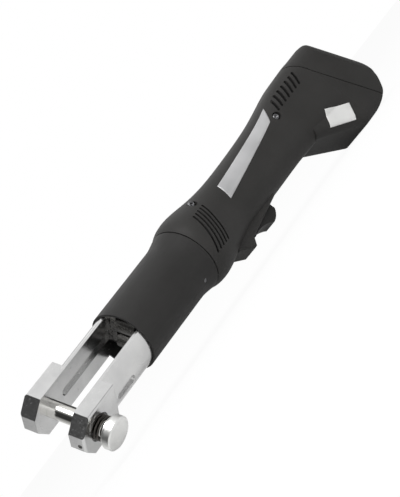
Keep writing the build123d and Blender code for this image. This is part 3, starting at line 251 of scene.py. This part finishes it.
slots = {
    "housing_plastic": moulded(
        "housing_plastic", (0.021, 0.0203, 0.0193), (0.027, 0.026, 0.025), 0.52, 0.64
    ),
    "trigger_plastic": moulded(
        "trigger_plastic", (0.011, 0.0105, 0.010), (0.015, 0.0145, 0.014), 0.42, 0.54, 2200.0, 0.00003
    ),
    "inner_plastic": moulded("inner_plastic", (0.016, 0.016, 0.017), (0.024, 0.024, 0.026), 0.45, 0.6),
    "plated_steel": metal(
        "plated_steel", (0.58, 0.58, 0.58), (0.68, 0.68, 0.675), 0.17, 0.28, 700.0, (0.4, 1, 1), 0.00002, 0.05
    ),
    "polished_steel": metal(
        "polished_steel", (0.68, 0.67, 0.64), (0.78, 0.77, 0.74), 0.07, 0.13, 1500.0, (3, 1, 1), 0.00001
    ),
    "satin_steel": turned(
        "satin_steel", (0.70, 0.70, 0.69), (0.80, 0.80, 0.785), 0.28, 0.38, 0.0004, KNOB_TURN
    ),
    "spring_steel": metal(
        "spring_steel", (0.050, 0.046, 0.041), (0.085, 0.079, 0.072), 0.24, 0.38, 1800.0
    ),
    "screw_steel": metal("screw_steel", (0.11, 0.11, 0.115), (0.17, 0.17, 0.175), 0.22, 0.36, 1200.0),
    "sleeve_paint": painted(
        "sleeve_paint", (0.019, 0.0183, 0.0178), (0.024, 0.0233, 0.0228), 0.52, 0.62
    ),
    "oiled_steel": metal("oiled_steel", (0.075, 0.073, 0.070), (0.12, 0.117, 0.112), 0.22, 0.36),
    "cylinder_steel": turned(
        "cylinder_steel", (0.42, 0.42, 0.43), (0.55, 0.55, 0.56), 0.24, 0.34, 0.0005, ALONG_X
    ),
    "pump_metal": metal("pump_metal", (0.60, 0.61, 0.62), (0.72, 0.73, 0.74), 0.28, 0.42, 500.0),
    "bronze": metal(
        "bronze", (0.46, 0.28, 0.11), (0.60, 0.38, 0.16), 0.3, 0.45, 1600.0, (1, 1, 1), 0.00004
    ),
    "gear_steel": metal("gear_steel", (0.40, 0.40, 0.41), (0.52, 0.52, 0.53), 0.2, 0.32, 1100.0),
    "motor_steel": metal(
        "motor_steel", (0.34, 0.34, 0.36), (0.46, 0.46, 0.48), 0.3, 0.42, 800.0, (0.2, 1, 1)
    ),
    "rubber": moulded("rubber", (0.014, 0.014, 0.014), (0.022, 0.022, 0.022), 0.7, 0.86, 900.0, 0.00008),
    "board": circuit("board"),
    "cell_sleeve": moulded(
        "cell_sleeve", (0.03, 0.10, 0.24), (0.045, 0.14, 0.32), 0.2, 0.32, 300.0, 0.00002
    ),
    "contact": metal("contact", (0.62, 0.55, 0.40), (0.74, 0.68, 0.52), 0.16, 0.28, 1400.0),
}
for part in frame["record"]["subparts"]:
    name = part.get("node") or part.get("name")
    mesh = nodes[name].data
    mesh.materials.clear()
    mesh.materials.append(slots[part["material_slot"]])

# The bare strip and plate, the painted shade sheets behind the vents and the painted shade inlays over the
# vents are thin sheets that follow the housing's outside.
CAST_FROM = 0.2  # well outside the housing, off the tool's axis
deps = bpy.context.evaluated_depsgraph_get()
shells = {
    1: BVHTree.FromObject(nodes["left_housing"], deps),
    -1: BVHTree.FromObject(nodes["right_housing"], deps),
}


def behind(distance):
    """X in metres at a distance in mm behind the seam."""
    return SEAM_X - distance / 1000.0


def beside(distance, height, side=1):
    """Point and normal of the housing's outside, looking in square from its left or right side."""
    start = Vector((behind(distance), side * CAST_FROM, height / 1000.0))
    hit, normal, _, _ = shells[side].ray_cast(start, Vector((0, -side, 0)))
    return hit, normal


def around(x, angle):
    """Point and normal of the left housing's outside at x, looking in at an angle about the tool's axis."""
    look = Vector((0.0, math.cos(angle), math.sin(angle)))
    hit, normal, _, _ = shells[1].ray_cast(Vector((x, 0, 0)) + look * CAST_FROM, -look)
    return hit, normal


def on_side(distance, height):
    """Distance behind the seam and height in mm, as x and an angle about the tool's axis."""
    hit, _ = beside(distance, height)
    return hit.x, math.atan2(hit.z, hit.y)


def spread(corners, long_steps, wide_steps):
    """Pairs of numbers on an even grid between four corners."""
    rear_top, rear_low, front_low, front_top = [Vector(corner) for corner in corners]
    rows = []
    for i in range(long_steps + 1):
        top = front_top.lerp(rear_top, i / long_steps)
        low = front_low.lerp(rear_low, i / long_steps)
        rows.append([top.lerp(low, j / wide_steps) for j in range(wide_steps + 1)])
    return rows


def add_piece(name, bm, material, body):
    """A finished mesh as a piece that rides on a body."""
    bmesh.ops.recalc_face_normals(bm, faces=bm.faces)
    mesh = bpy.data.meshes.new(name)
    bm.to_mesh(mesh)
    bm.free()
    for face in mesh.polygons:
        face.use_smooth = True
    mesh.materials.append(material)
    piece = bpy.data.objects.new(name, mesh)
    scene.collection.objects.link(piece)
    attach(piece, body)
    return piece


def sheet(bm, rows, lift, sunk, rim=0.0):
    """A thin closed sheet through a grid of surface points; its rim lies lower by the given amount."""
    last = len(rows) - 1
    side = len(rows[0]) - 1
    top = []
    foot = []
    for i, row in enumerate(rows):
        top.append([])
        foot.append([])
        for j, (hit, normal) in enumerate(row):
            drop = rim if i in (0, last) or j in (0, side) else 0.0
            top[i].append(bm.verts.new(hit + normal * (lift - drop)))
            foot[i].append(bm.verts.new(hit - normal * sunk))
    for i in range(last):
        for j in range(side):
            bm.faces.new((top[i][j], top[i + 1][j], top[i + 1][j + 1], top[i][j + 1]))
            bm.faces.new((foot[i][j], foot[i][j + 1], foot[i + 1][j + 1], foot[i + 1][j]))
    ring = [(i, 0) for i in range(last)]
    ring += [(last, j) for j in range(side)]
    ring += [(i, side) for i in range(last, 0, -1)]
    ring += [(0, j) for j in range(side, 0, -1)]
    for (a, b), (c, d) in zip(ring, ring[1:] + ring[:1]):
        bm.faces.new((top[a][b], foot[a][b], foot[c][d], top[c][d]))


def foil(name, dark, light, smooth, rough, shine):
    """Bare foil: a silver or white film with a fine drawn grain."""
    s = Shade(name)
    s.set(Metallic=shine, Specular_IOR_Level=0.4)
    grain = s.noise(1400.0, 3.0, 0.6, s.mapped((0.15, 1.0, 1.0)))
    tone = s.noise(40.0, 2.0)
    colour = s.ramp(tone, [(0.3, dark), (0.7, light)])
    return s.finish(colour, s.span(grain, smooth, rough), s.bump(grain, 0.1, 0.00001))


# The strip's corners, rear top first: distance behind the seam and height in mm. Thicknesses in metres.
STRIP_CORNERS = ((162.4, 25.6), (150.8, 14.2), (61.0, 1.4), (64.2, 16.1))
STRIP_STEPS = (72, 14)
STRIP_LIFT = 0.00035
STRIP_RIM = 0.00015
FOIL_SUNK = 0.0006
strip_corners = [on_side(*corner) for corner in STRIP_CORNERS]
strip_rows = [[around(*at) for at in row] for row in spread(strip_corners, *STRIP_STEPS)]
bm = bmesh.new()
sheet(bm, strip_rows, STRIP_LIFT, FOIL_SUNK, STRIP_RIM)
strip_foil = foil("strip_foil", (0.40, 0.40, 0.405), (0.47, 0.47, 0.475), 0.32, 0.44, 0.3)
add_piece("name_strip", bm, strip_foil, "housing")

# The plate lies along the foot's ramp, just above its edge: distance behind the seam and height in mm.
PLATE_CORNER = Vector((185.9, -29.3))
PLATE_ALONG = Vector((0.856, -0.517))
PLATE_ACROSS = Vector((0.517, 0.856))
PLATE_LENGTH = 26.0
PLATE_WIDTH = 16.0
PLATE_STEPS = (40, 20)
PLATE_LIFT = 0.0003
PLATE_RIM = 0.00012
plate_far = PLATE_CORNER + PLATE_ALONG * PLATE_LENGTH
plate_rise = PLATE_ACROSS * PLATE_WIDTH
plate_corners = [plate_far + plate_rise, plate_far, PLATE_CORNER, PLATE_CORNER + plate_rise]
plate_rows = [[beside(*at) for at in row] for row in spread(plate_corners, *PLATE_STEPS)]
bm = bmesh.new()
sheet(bm, plate_rows, PLATE_LIFT, FOIL_SUNK, PLATE_RIM)
plate_foil = foil("plate_foil", (0.62, 0.62, 0.61), (0.69, 0.69, 0.68), 0.36, 0.48, 0.1)
add_piece("rating_plate", bm, plate_foil, "housing")

# Near-black sheets lie inside the wall behind the vents as painted shade, so that the slots look dark from
# every side. Their grid lines run along the bars between the slots, so that they follow the wall and not the
# slots. Sizes in mm: count, pitch, middle of the frontmost vent behind the seam, height, half length of the
# sheet and lean.
FRONT_VENTS = (5, 4.3, 13.0, 0.0, 18.5, math.radians(21.0))
REAR_VENTS = (7, 5.5, 168.8, 20.0, 7.4, math.radians(27.0))
FRONT_VENT_HALF_WIDTH = 0.9
FRONT_VENT_BANK = 1.5  # wall beside the slot, off the slot's middle
SHADE_SHEET_POINTS = 25
SHADE_SHEET_LIFT = -0.0011
SHADE_SHEET_SUNK = 0.0016
INLAY_START = -5.6
INLAY_END = 4.8
INLAY_STEPS = 30
INLAY_STEPS_ACROSS = 4
INLAY_LIFT = 0.0001
INLAY_SUNK = 0.0003


def vent_point(vents, along, across, side):
    """Point and normal of the wall, along a vent's slot from its middle and across the slots."""
    _, _, distance, height, _, lean = vents
    distance += along * math.sin(lean) + across * math.cos(lean)
    height += along * math.cos(lean) - across * math.sin(lean)
    return beside(distance, height, side)


def shade_sheet_behind_vents(bm, vents, side):
    """One near-black sheet of painted shade behind a row of vents."""
    count, pitch, _, _, reach, lean = vents
    rows = []
    for bar in range(count + 1):
        row = []
        for j in range(SHADE_SHEET_POINTS):
            along = reach * (2.0 * j / (SHADE_SHEET_POINTS - 1) - 1.0)
            step = (bar - 0.5) * pitch
            row.append(vent_point(vents, along + step * math.sin(lean), step * math.cos(lean), side))
        rows.append(row)
    sheet(bm, rows, SHADE_SHEET_LIFT, SHADE_SHEET_SUNK)


# Near-black material that paints shade: on the sheets behind the vents and on the inlay over the closed vent.
painted_shade = moulded(
    "painted_shade", (0.0012, 0.0012, 0.0012), (0.0022, 0.0022, 0.0022), 0.85, 0.95, 2600.0, 0.0001
)
for side, name in ((1, "left"), (-1, "right")):
    bm = bmesh.new()
    shade_sheet_behind_vents(bm, FRONT_VENTS, side)
    shade_sheet_behind_vents(bm, REAR_VENTS, side)
    add_piece(name + "_vent_shade_sheets", bm, painted_shade, "housing")
    # The frontmost vent is closed by a thin skin at the widest part of the ball; a near-black inlay paints
    # the shade of an open slot there, carried from the wall on both sides of the slot.
    rows = []
    for i in range(INLAY_STEPS + 1):
        along = INLAY_START + (INLAY_END - INLAY_START) * i / INLAY_STEPS
        (near, near_normal), (far, far_normal) = [
            vent_point(FRONT_VENTS, along, across, side) for across in (-FRONT_VENT_BANK, FRONT_VENT_BANK)
        ]
        row = []
        for j in range(INLAY_STEPS_ACROSS + 1):
            share = 0.5 + (j / INLAY_STEPS_ACROSS - 0.5) * FRONT_VENT_HALF_WIDTH / FRONT_VENT_BANK
            row.append((near.lerp(far, share), near_normal.lerp(far_normal, share)))
        rows.append(row)
    bm = bmesh.new()
    sheet(bm, rows, INLAY_LIFT, INLAY_SUNK)
    add_piece(name + "_vent_slot_shade", bm, painted_shade, "housing")


def turn_up(bm, profile, place, points=48):
    """A turned body from radius, height along the axis and whether the ring has six flats."""
    rings = []
    for radius, height, flats in profile:
        ring = []
        for k in range(points if radius else 1):
            angle = 2.0 * math.pi * k / points
            corner = angle % (math.pi / 3) - math.pi / 6
            reach = radius * math.cos(math.pi / 6) / math.cos(corner) if flats else radius
            at = Vector((reach * math.cos(angle), reach * math.sin(angle), height)) / 1000.0
            ring.append(bm.verts.new(place @ at))
        rings.append(ring)
    for one, two in zip(rings, rings[1:]):
        for k in range(points):
            quad = [one[k % len(one)], one[(k + 1) % len(one)], two[(k + 1) % len(two)], two[k % len(two)]]
            bm.faces.new(list(dict.fromkeys(quad)))


# Housing screws with a domed head, a hexagon socket and thread, in place of their plain solids. Each place
# gives distance behind the seam, height, the seat's distance off the middle plane and the head's side.
SCREW_PLACES = (
    (36.0, 23.5, 16.0, 1),
    (160.0, 13.0, 20.0, 1),
    (118.0, -16.5, 12.5, -1),
    (222.0, -42.0, 22.0, -1),
)
SCREW_GRIP = 8.0
SCREW_POINT = 0.6
THREAD_PITCH = 1.25
THREAD_CREST = 1.5
THREAD_ROOT = 1.2
ROOT_START = 0.35  # shares of the pitch
ROOT_END = 0.6
SOCKET = [(0, 0.9, False), (1.35, 0.9, True), (1.45, 2.3, True)]
DOME = [(1.75, 2.55), (2.3, 2.5), (2.85, 2.2), (3.15, 1.6), (3.2, 1.0), (3.2, 0.2), (3.0, 0.0), (1.5, 0.0)]
HEAD = SOCKET + [(radius, height, False) for radius, height in DOME]
bm = bmesh.new()
for distance, height, seat, side in SCREW_PLACES:
    profile = list(HEAD)
    depth = 0.0
    while depth < seat + SCREW_GRIP - 2.0 * THREAD_PITCH:
        for share in (ROOT_START, ROOT_END):
            profile.append((THREAD_ROOT, -depth - share * THREAD_PITCH, False))
        depth += THREAD_PITCH
        profile.append((THREAD_CREST, -depth, False))
    tip = seat + SCREW_GRIP
    profile += [(1.0, -(tip - SCREW_POINT), False), (0, -tip, False)]
    outward = Matrix.Rotation(-side * math.pi / 2, 4, "X")
    at_seat = Matrix.Translation((behind(distance), side * seat / 1000.0, height / 1000.0))
    turn_up(bm, profile, at_seat @ outward)
screws = add_piece("socket_screws", bm, slots["screw_steel"], "housing")
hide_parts("housing_screws")

# The small socket screw in the near ear's front face stands just proud of it. Sizes in mm, in the head.
EAR_FRONT = 20.5
EAR_SCREW_SIDE = 23.2
EAR_SCREW_DROP = 2.6
EAR_SCREW = [
    (0, 0.03, False),
    (1.15, 0.03, True),
    (1.25, 0.24, True),
    (1.55, 0.28, False),
    (1.8, 0.2, False),
    (1.9, 0.0, False),
    (1.9, -1.5, False),
    (0, -1.5, False),
]
bm = bmesh.new()
in_head = Matrix.Rotation(HEAD_ROLL, 4, "X")
at_ear = Matrix.Translation(Vector((EAR_FRONT, EAR_SCREW_SIDE, -EAR_SCREW_DROP)) / 1000.0)
turn_up(bm, EAR_SCREW, in_head @ at_ear @ Matrix.Rotation(math.pi / 2, 4, "Y"))
add_piece("ear_socket_screw", bm, slots["oiled_steel"], "head")

# The pack's case keeps its solid's shape, but the rim of its slanted rear face is softened like a
# moulded edge. Places and sizes in mm.
REAR_FACE_AT_TOP = -420.0
TAIL_TOP = 34.8
REAR_SLANT = 0.48
RIM_DEPTH = 8.0     # fully softened this far ahead of the rear face
RIM_FADE = 26.0     # and not at all this much further on
RIM_REACH = 3.0     # fully softened this close to the crease
RIM_SPREAD = 7.0    # and not at all from here
RIM_MESH = 1.4      # longest edge to aim for
RIM_SPLITS = 7
RIM_SAMPLES = 12    # points looked at along an edge
RIM_PASSES = 24
RIM_STEP = 0.5      # share of the way to the neighbours' middle in each pass
POINTS_PER_MM = 2.0
LATCH_MARGIN = 3.0
CREASE_ANGLE = math.radians(14.0)
SHARP_ANGLE = math.radians(12.0)
SAME_POINT = 0.000002  # metres, as the next
OFF_SURFACE = 0.00002


def fade(value, full, none):
    """1 up to one value, 0 from another, and smooth between them."""
    share = min(max((none - value) / (none - full), 0.0), 1.0)
    return share * share * (3.0 - 2.0 * share)


def rim_share(point):
    """1 close to the slanted rear face, fading out ahead of it."""
    rear = REAR_FACE_AT_TOP - REAR_SLANT * (TAIL_TOP - point.z * 1000.0)
    return fade(point.x * 1000.0 - rear, RIM_DEPTH, RIM_DEPTH + RIM_FADE)


latch_low, latch_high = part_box("battery_latch")


def at_latch(point):
    """Whether a point belongs to the button's opening, which keeps its edges."""
    margin = LATCH_MARGIN / 1000.0
    return all(low - margin < value < high + margin for low, value, high in zip(latch_low, point, latch_high))


def outside(bm):
    """The vertices from which nothing of the body lies further out."""
    bm.normal_update()
    tree = BVHTree.FromBMesh(bm)
    return {v for v in bm.verts if tree.ray_cast(v.co + v.normal * OFF_SURFACE, v.normal)[0] is None}


bm = bmesh.new()
bm.from_mesh(nodes["battery_case"].data)
bmesh.ops.remove_doubles(bm, verts=bm.verts, dist=SAME_POINT)
outer = outside(bm)
crease = [
    edge for edge in bm.edges
    if edge.calc_face_angle(0.0) > CREASE_ANGLE and rim_share(edge.verts[0].co) > 0.0
    and edge.verts[0] in outer and edge.verts[1] in outer and not at_latch(edge.verts[0].co)
]
rim_points = []
for edge in crease:
    steps = int(edge.calc_length() * 1000.0 * POINTS_PER_MM) + 1
    rim_points += [edge.verts[0].co.lerp(edge.verts[1].co, k / steps) for k in range(steps + 1)]
rim = KDTree(len(rim_points))
for index, point in enumerate(rim_points):
    rim.insert(point, index)
rim.balance()


def off_rim(point):
    """Distance from the crease in mm."""
    return rim.find(point)[2] * 1000.0


def crosses_rim(edge):
    """Whether an edge comes near the crease."""
    one, two = edge.verts[0].co, edge.verts[1].co
    return min(off_rim(one.lerp(two, k / RIM_SAMPLES)) for k in range(RIM_SAMPLES + 1)) < RIM_SPREAD


for _ in range(RIM_SPLITS):
    long_edges = [edge for edge in bm.edges if edge.calc_length() * 1000.0 > RIM_MESH and crosses_rim(edge)]
    if not long_edges:
        break
    bmesh.ops.subdivide_edges(bm, edges=long_edges, cuts=1)
    bmesh.ops.triangulate(bm, faces=[face for face in bm.faces if len(face.verts) > 3])
outer = outside(bm)
shares = {}
for v in outer:
    share = fade(off_rim(v.co), RIM_REACH, RIM_SPREAD) * rim_share(v.co)
    if share > 0.0:
        shares[v] = share
for _ in range(RIM_PASSES):
    middles = {}
    for v in shares:
        around_v = [edge.other_vert(v).co for edge in v.link_edges]
        middles[v] = sum(around_v, Vector()) / len(around_v)
    for v, centre in middles.items():
        v.co = v.co.lerp(centre, RIM_STEP * shares[v])
case = add_piece("pack_case", bm, slots["housing_plastic"], "pack")
case.data.set_sharp_from_angle(angle=SHARP_ANGLE)
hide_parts("battery_case")

# The ram's return spring is a flat wire's coil in place of its plain tube. Places along X and sizes
# in mm.
GLAND = -115.0
PISTON_FACE = -150.7
COIL_CLEARANCE = 0.2
COIL_TURNS = 6
COIL_STEPS = 48
COIL_RADIUS = 10.3
WIRE_HALF_WIDTH = 0.9
WIRE_HALF_THICKNESS = 0.4
WIRE_ROUND = 0.12
wire_section = []
for across, along in ((1, 1), (-1, 1), (-1, -1), (1, -1)):
    wide = (across * WIRE_HALF_WIDTH, along * (WIRE_HALF_THICKNESS - WIRE_ROUND))
    deep = (across * (WIRE_HALF_WIDTH - WIRE_ROUND), along * WIRE_HALF_THICKNESS)
    wire_section += [wide, deep] if across == along else [deep, wide]
coil_rear = PISTON_FACE + COIL_CLEARANCE + WIRE_HALF_THICKNESS
coil_front = GLAND - COIL_CLEARANCE - WIRE_HALF_THICKNESS
bm = bmesh.new()
coil_rings = []
for k in range(COIL_TURNS * COIL_STEPS + 1):
    angle = 2.0 * math.pi * k / COIL_STEPS
    x = coil_rear + (coil_front - coil_rear) * k / (COIL_TURNS * COIL_STEPS)
    coil_rings.append([
        bm.verts.new(Vector((
            x + along,
            (COIL_RADIUS + across) * math.cos(angle),
            (COIL_RADIUS + across) * math.sin(angle),
        )) / 1000.0)
        for across, along in wire_section
    ])
for one, two in zip(coil_rings, coil_rings[1:]):
    for k in range(len(wire_section)):
        after = (k + 1) % len(wire_section)
        bm.faces.new((one[k], one[after], two[after], two[k]))
for ring in (coil_rings[0], coil_rings[-1]):
    bm.faces.new(ring)
coil = add_piece("return_coil", bm, slots["spring_steel"], "head")
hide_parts("return_spring")
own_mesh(coil)

# The floor lies under the lowest point; it is white to the camera and keeps a soft shadow.
FLOOR_REACH = 6.0
FLOOR_GAP = 0.0005
FLOOR_GREY = 0.86
SEEN_WHITE = 0.94      # share of plain white that the camera sees
MIRRORED_WHITE = 0.30  # and that shiny surfaces see
floor_mesh = bpy.data.meshes.new("floor")
low = cad_low[2] - FLOOR_GAP
floor_corners = [(FLOOR_REACH * x, FLOOR_REACH * y, low) for x, y in ((-1, -1), (1, -1), (1, 1), (-1, 1))]
floor_mesh.from_pydata(floor_corners, [], [(0, 1, 2, 3)])
floor = bpy.data.objects.new("floor", floor_mesh)
scene.collection.objects.link(floor)
floor_material = bpy.data.materials.new("floor_white")
floor_material.use_nodes = True
tree = floor_material.node_tree
tree.nodes.clear()
path = tree.nodes.new("ShaderNodeLightPath")
mirrored = tree.nodes.new("ShaderNodeMath")
mirrored.operation = "MULTIPLY"
mirrored.inputs[1].default_value = MIRRORED_WHITE
tree.links.new(path.outputs["Is Glossy Ray"], mirrored.inputs[0])
share = tree.nodes.new("ShaderNodeMath")
share.operation = "MULTIPLY_ADD"
share.inputs[1].default_value = SEEN_WHITE
tree.links.new(path.outputs["Is Camera Ray"], share.inputs[0])
tree.links.new(mirrored.outputs[0], share.inputs[2])
plain = tree.nodes.new("ShaderNodeBsdfDiffuse")
plain.inputs["Color"].default_value = (FLOOR_GREY, FLOOR_GREY, FLOOR_GREY, 1)
glow = tree.nodes.new("ShaderNodeEmission")
glow.inputs["Color"].default_value = (1, 1, 1, 1)
glow.inputs["Strength"].default_value = 1.0
mix = tree.nodes.new("ShaderNodeMixShader")
out = tree.nodes.new("ShaderNodeOutputMaterial")
tree.links.new(share.outputs[0], mix.inputs["Fac"])
tree.links.new(plain.outputs[0], mix.inputs[1])
tree.links.new(glow.outputs[0], mix.inputs[2])
tree.links.new(mix.outputs[0], out.inputs["Surface"])
floor_mesh.materials.append(floor_material)

# The world is white to the camera. Shiny surfaces see a studio that is palest above and has one dark
# side, and everything else gets a plain grey sky.
DARK_SIDE = Vector((0.87, -0.05, 0.49)).normalized()
DARK_FADE = (0.66, 0.94, 1.0, 0.05)  # cosines where the fade starts and ends, brightness before and after
RISE_FADE = (0.0, 0.85, 0.45, 1.0)
SKY_STRENGTH = 0.45
world = bpy.data.worlds.new("studio")
scene.world = world
world.use_nodes = True
tree = world.node_tree
tree.nodes.clear()
path = tree.nodes.new("ShaderNodeLightPath")
open_view = tree.nodes.new("ShaderNodeMath")
open_view.operation = "MAXIMUM"
tree.links.new(path.outputs["Is Camera Ray"], open_view.inputs[0])
tree.links.new(path.outputs["Is Transmission Ray"], open_view.inputs[1])
look = tree.nodes.new("ShaderNodeTexCoord").outputs["Generated"]


def toward(direction, start, end, low, high):
    """A brightness that goes from low to high as the view turns towards a direction."""
    dot = tree.nodes.new("ShaderNodeVectorMath")
    dot.operation = "DOT_PRODUCT"
    dot.inputs[1].default_value = direction
    tree.links.new(look, dot.inputs[0])
    blend = tree.nodes.new("ShaderNodeMapRange")
    blend.interpolation_type = "SMOOTHSTEP"
    blend.inputs["From Min"].default_value = start
    blend.inputs["From Max"].default_value = end
    blend.inputs["To Min"].default_value = low
    blend.inputs["To Max"].default_value = high
    tree.links.new(dot.outputs["Value"], blend.inputs["Value"])
    return blend.outputs["Result"]


shown = tree.nodes.new("ShaderNodeMath")
shown.operation = "MULTIPLY"
tree.links.new(toward(DARK_SIDE, *DARK_FADE), shown.inputs[0])
tree.links.new(toward((0, 0, 1), *RISE_FADE), shown.inputs[1])


def backdrop(strength):
    """A white background shader."""
    node = tree.nodes.new("ShaderNodeBackground")
    node.inputs["Color"].default_value = (1, 1, 1, 1)
    node.inputs["Strength"].default_value = strength
    return node


sky = backdrop(SKY_STRENGTH)
white = backdrop(1.0)
studio = backdrop(1.0)
tree.links.new(shown.outputs[0], studio.inputs["Strength"])
plain_mix = tree.nodes.new("ShaderNodeMixShader")
tree.links.new(open_view.outputs[0], plain_mix.inputs["Fac"])
tree.links.new(sky.outputs[0], plain_mix.inputs[1])
tree.links.new(white.outputs[0], plain_mix.inputs[2])
mix = tree.nodes.new("ShaderNodeMixShader")
tree.links.new(path.outputs["Is Glossy Ray"], mix.inputs["Fac"])
tree.links.new(plain_mix.outputs[0], mix.inputs[1])
tree.links.new(studio.outputs[0], mix.inputs[2])
out = tree.nodes.new("ShaderNodeOutputWorld")
tree.links.new(mix.outputs[0], out.inputs["Surface"])


def soft_light(name, at, to, size, power):
    """A round area light at a place, turned towards another; size in metres, power in watts."""
    lamp = bpy.data.lights.new(name, "AREA")
    lamp.shape = "DISK"
    lamp.size = size
    lamp.energy = power
    thing = bpy.data.objects.new(name, lamp)
    scene.collection.objects.link(thing)
    thing.location = at
    thing.rotation_euler = (Vector(to) - Vector(at)).to_track_quat("-Z", "Y").to_euler()


TOOL_MIDDLE = (-0.2, 0.0, 0.0)
soft_light("key_light", (0.1, 0.9, 1.1), TOOL_MIDDLE, 0.9, 15.0)
soft_light("fill_light", (0.9, 0.7, 0.2), TOOL_MIDDLE, 1.0, 3.5)
soft_light("back_light", (-0.9, -0.7, 1.1), TOOL_MIDDLE, 1.2, 1.8)

SENSOR_WIDTH = 36.0
camera = bpy.data.cameras.new("photo_camera")
camera.sensor_fit = "HORIZONTAL"
camera.sensor_width = SENSOR_WIDTH
camera.lens = FOCAL_PIXELS * SENSOR_WIDTH / PHOTO_WIDTH
camera.clip_start = 0.05
camera.clip_end = 50.0
eye = bpy.data.objects.new("photo_camera", camera)
scene.collection.objects.link(eye)
turn = Matrix((CAMERA_RIGHT, CAMERA_UP, -CAMERA_AHEAD)).transposed().to_4x4()
eye.matrix_world = Matrix.Translation(CAMERA_AT) @ turn
scene.camera = eye
scene.view_settings.view_transform = "Standard"

bpy.context.view_layer.update()
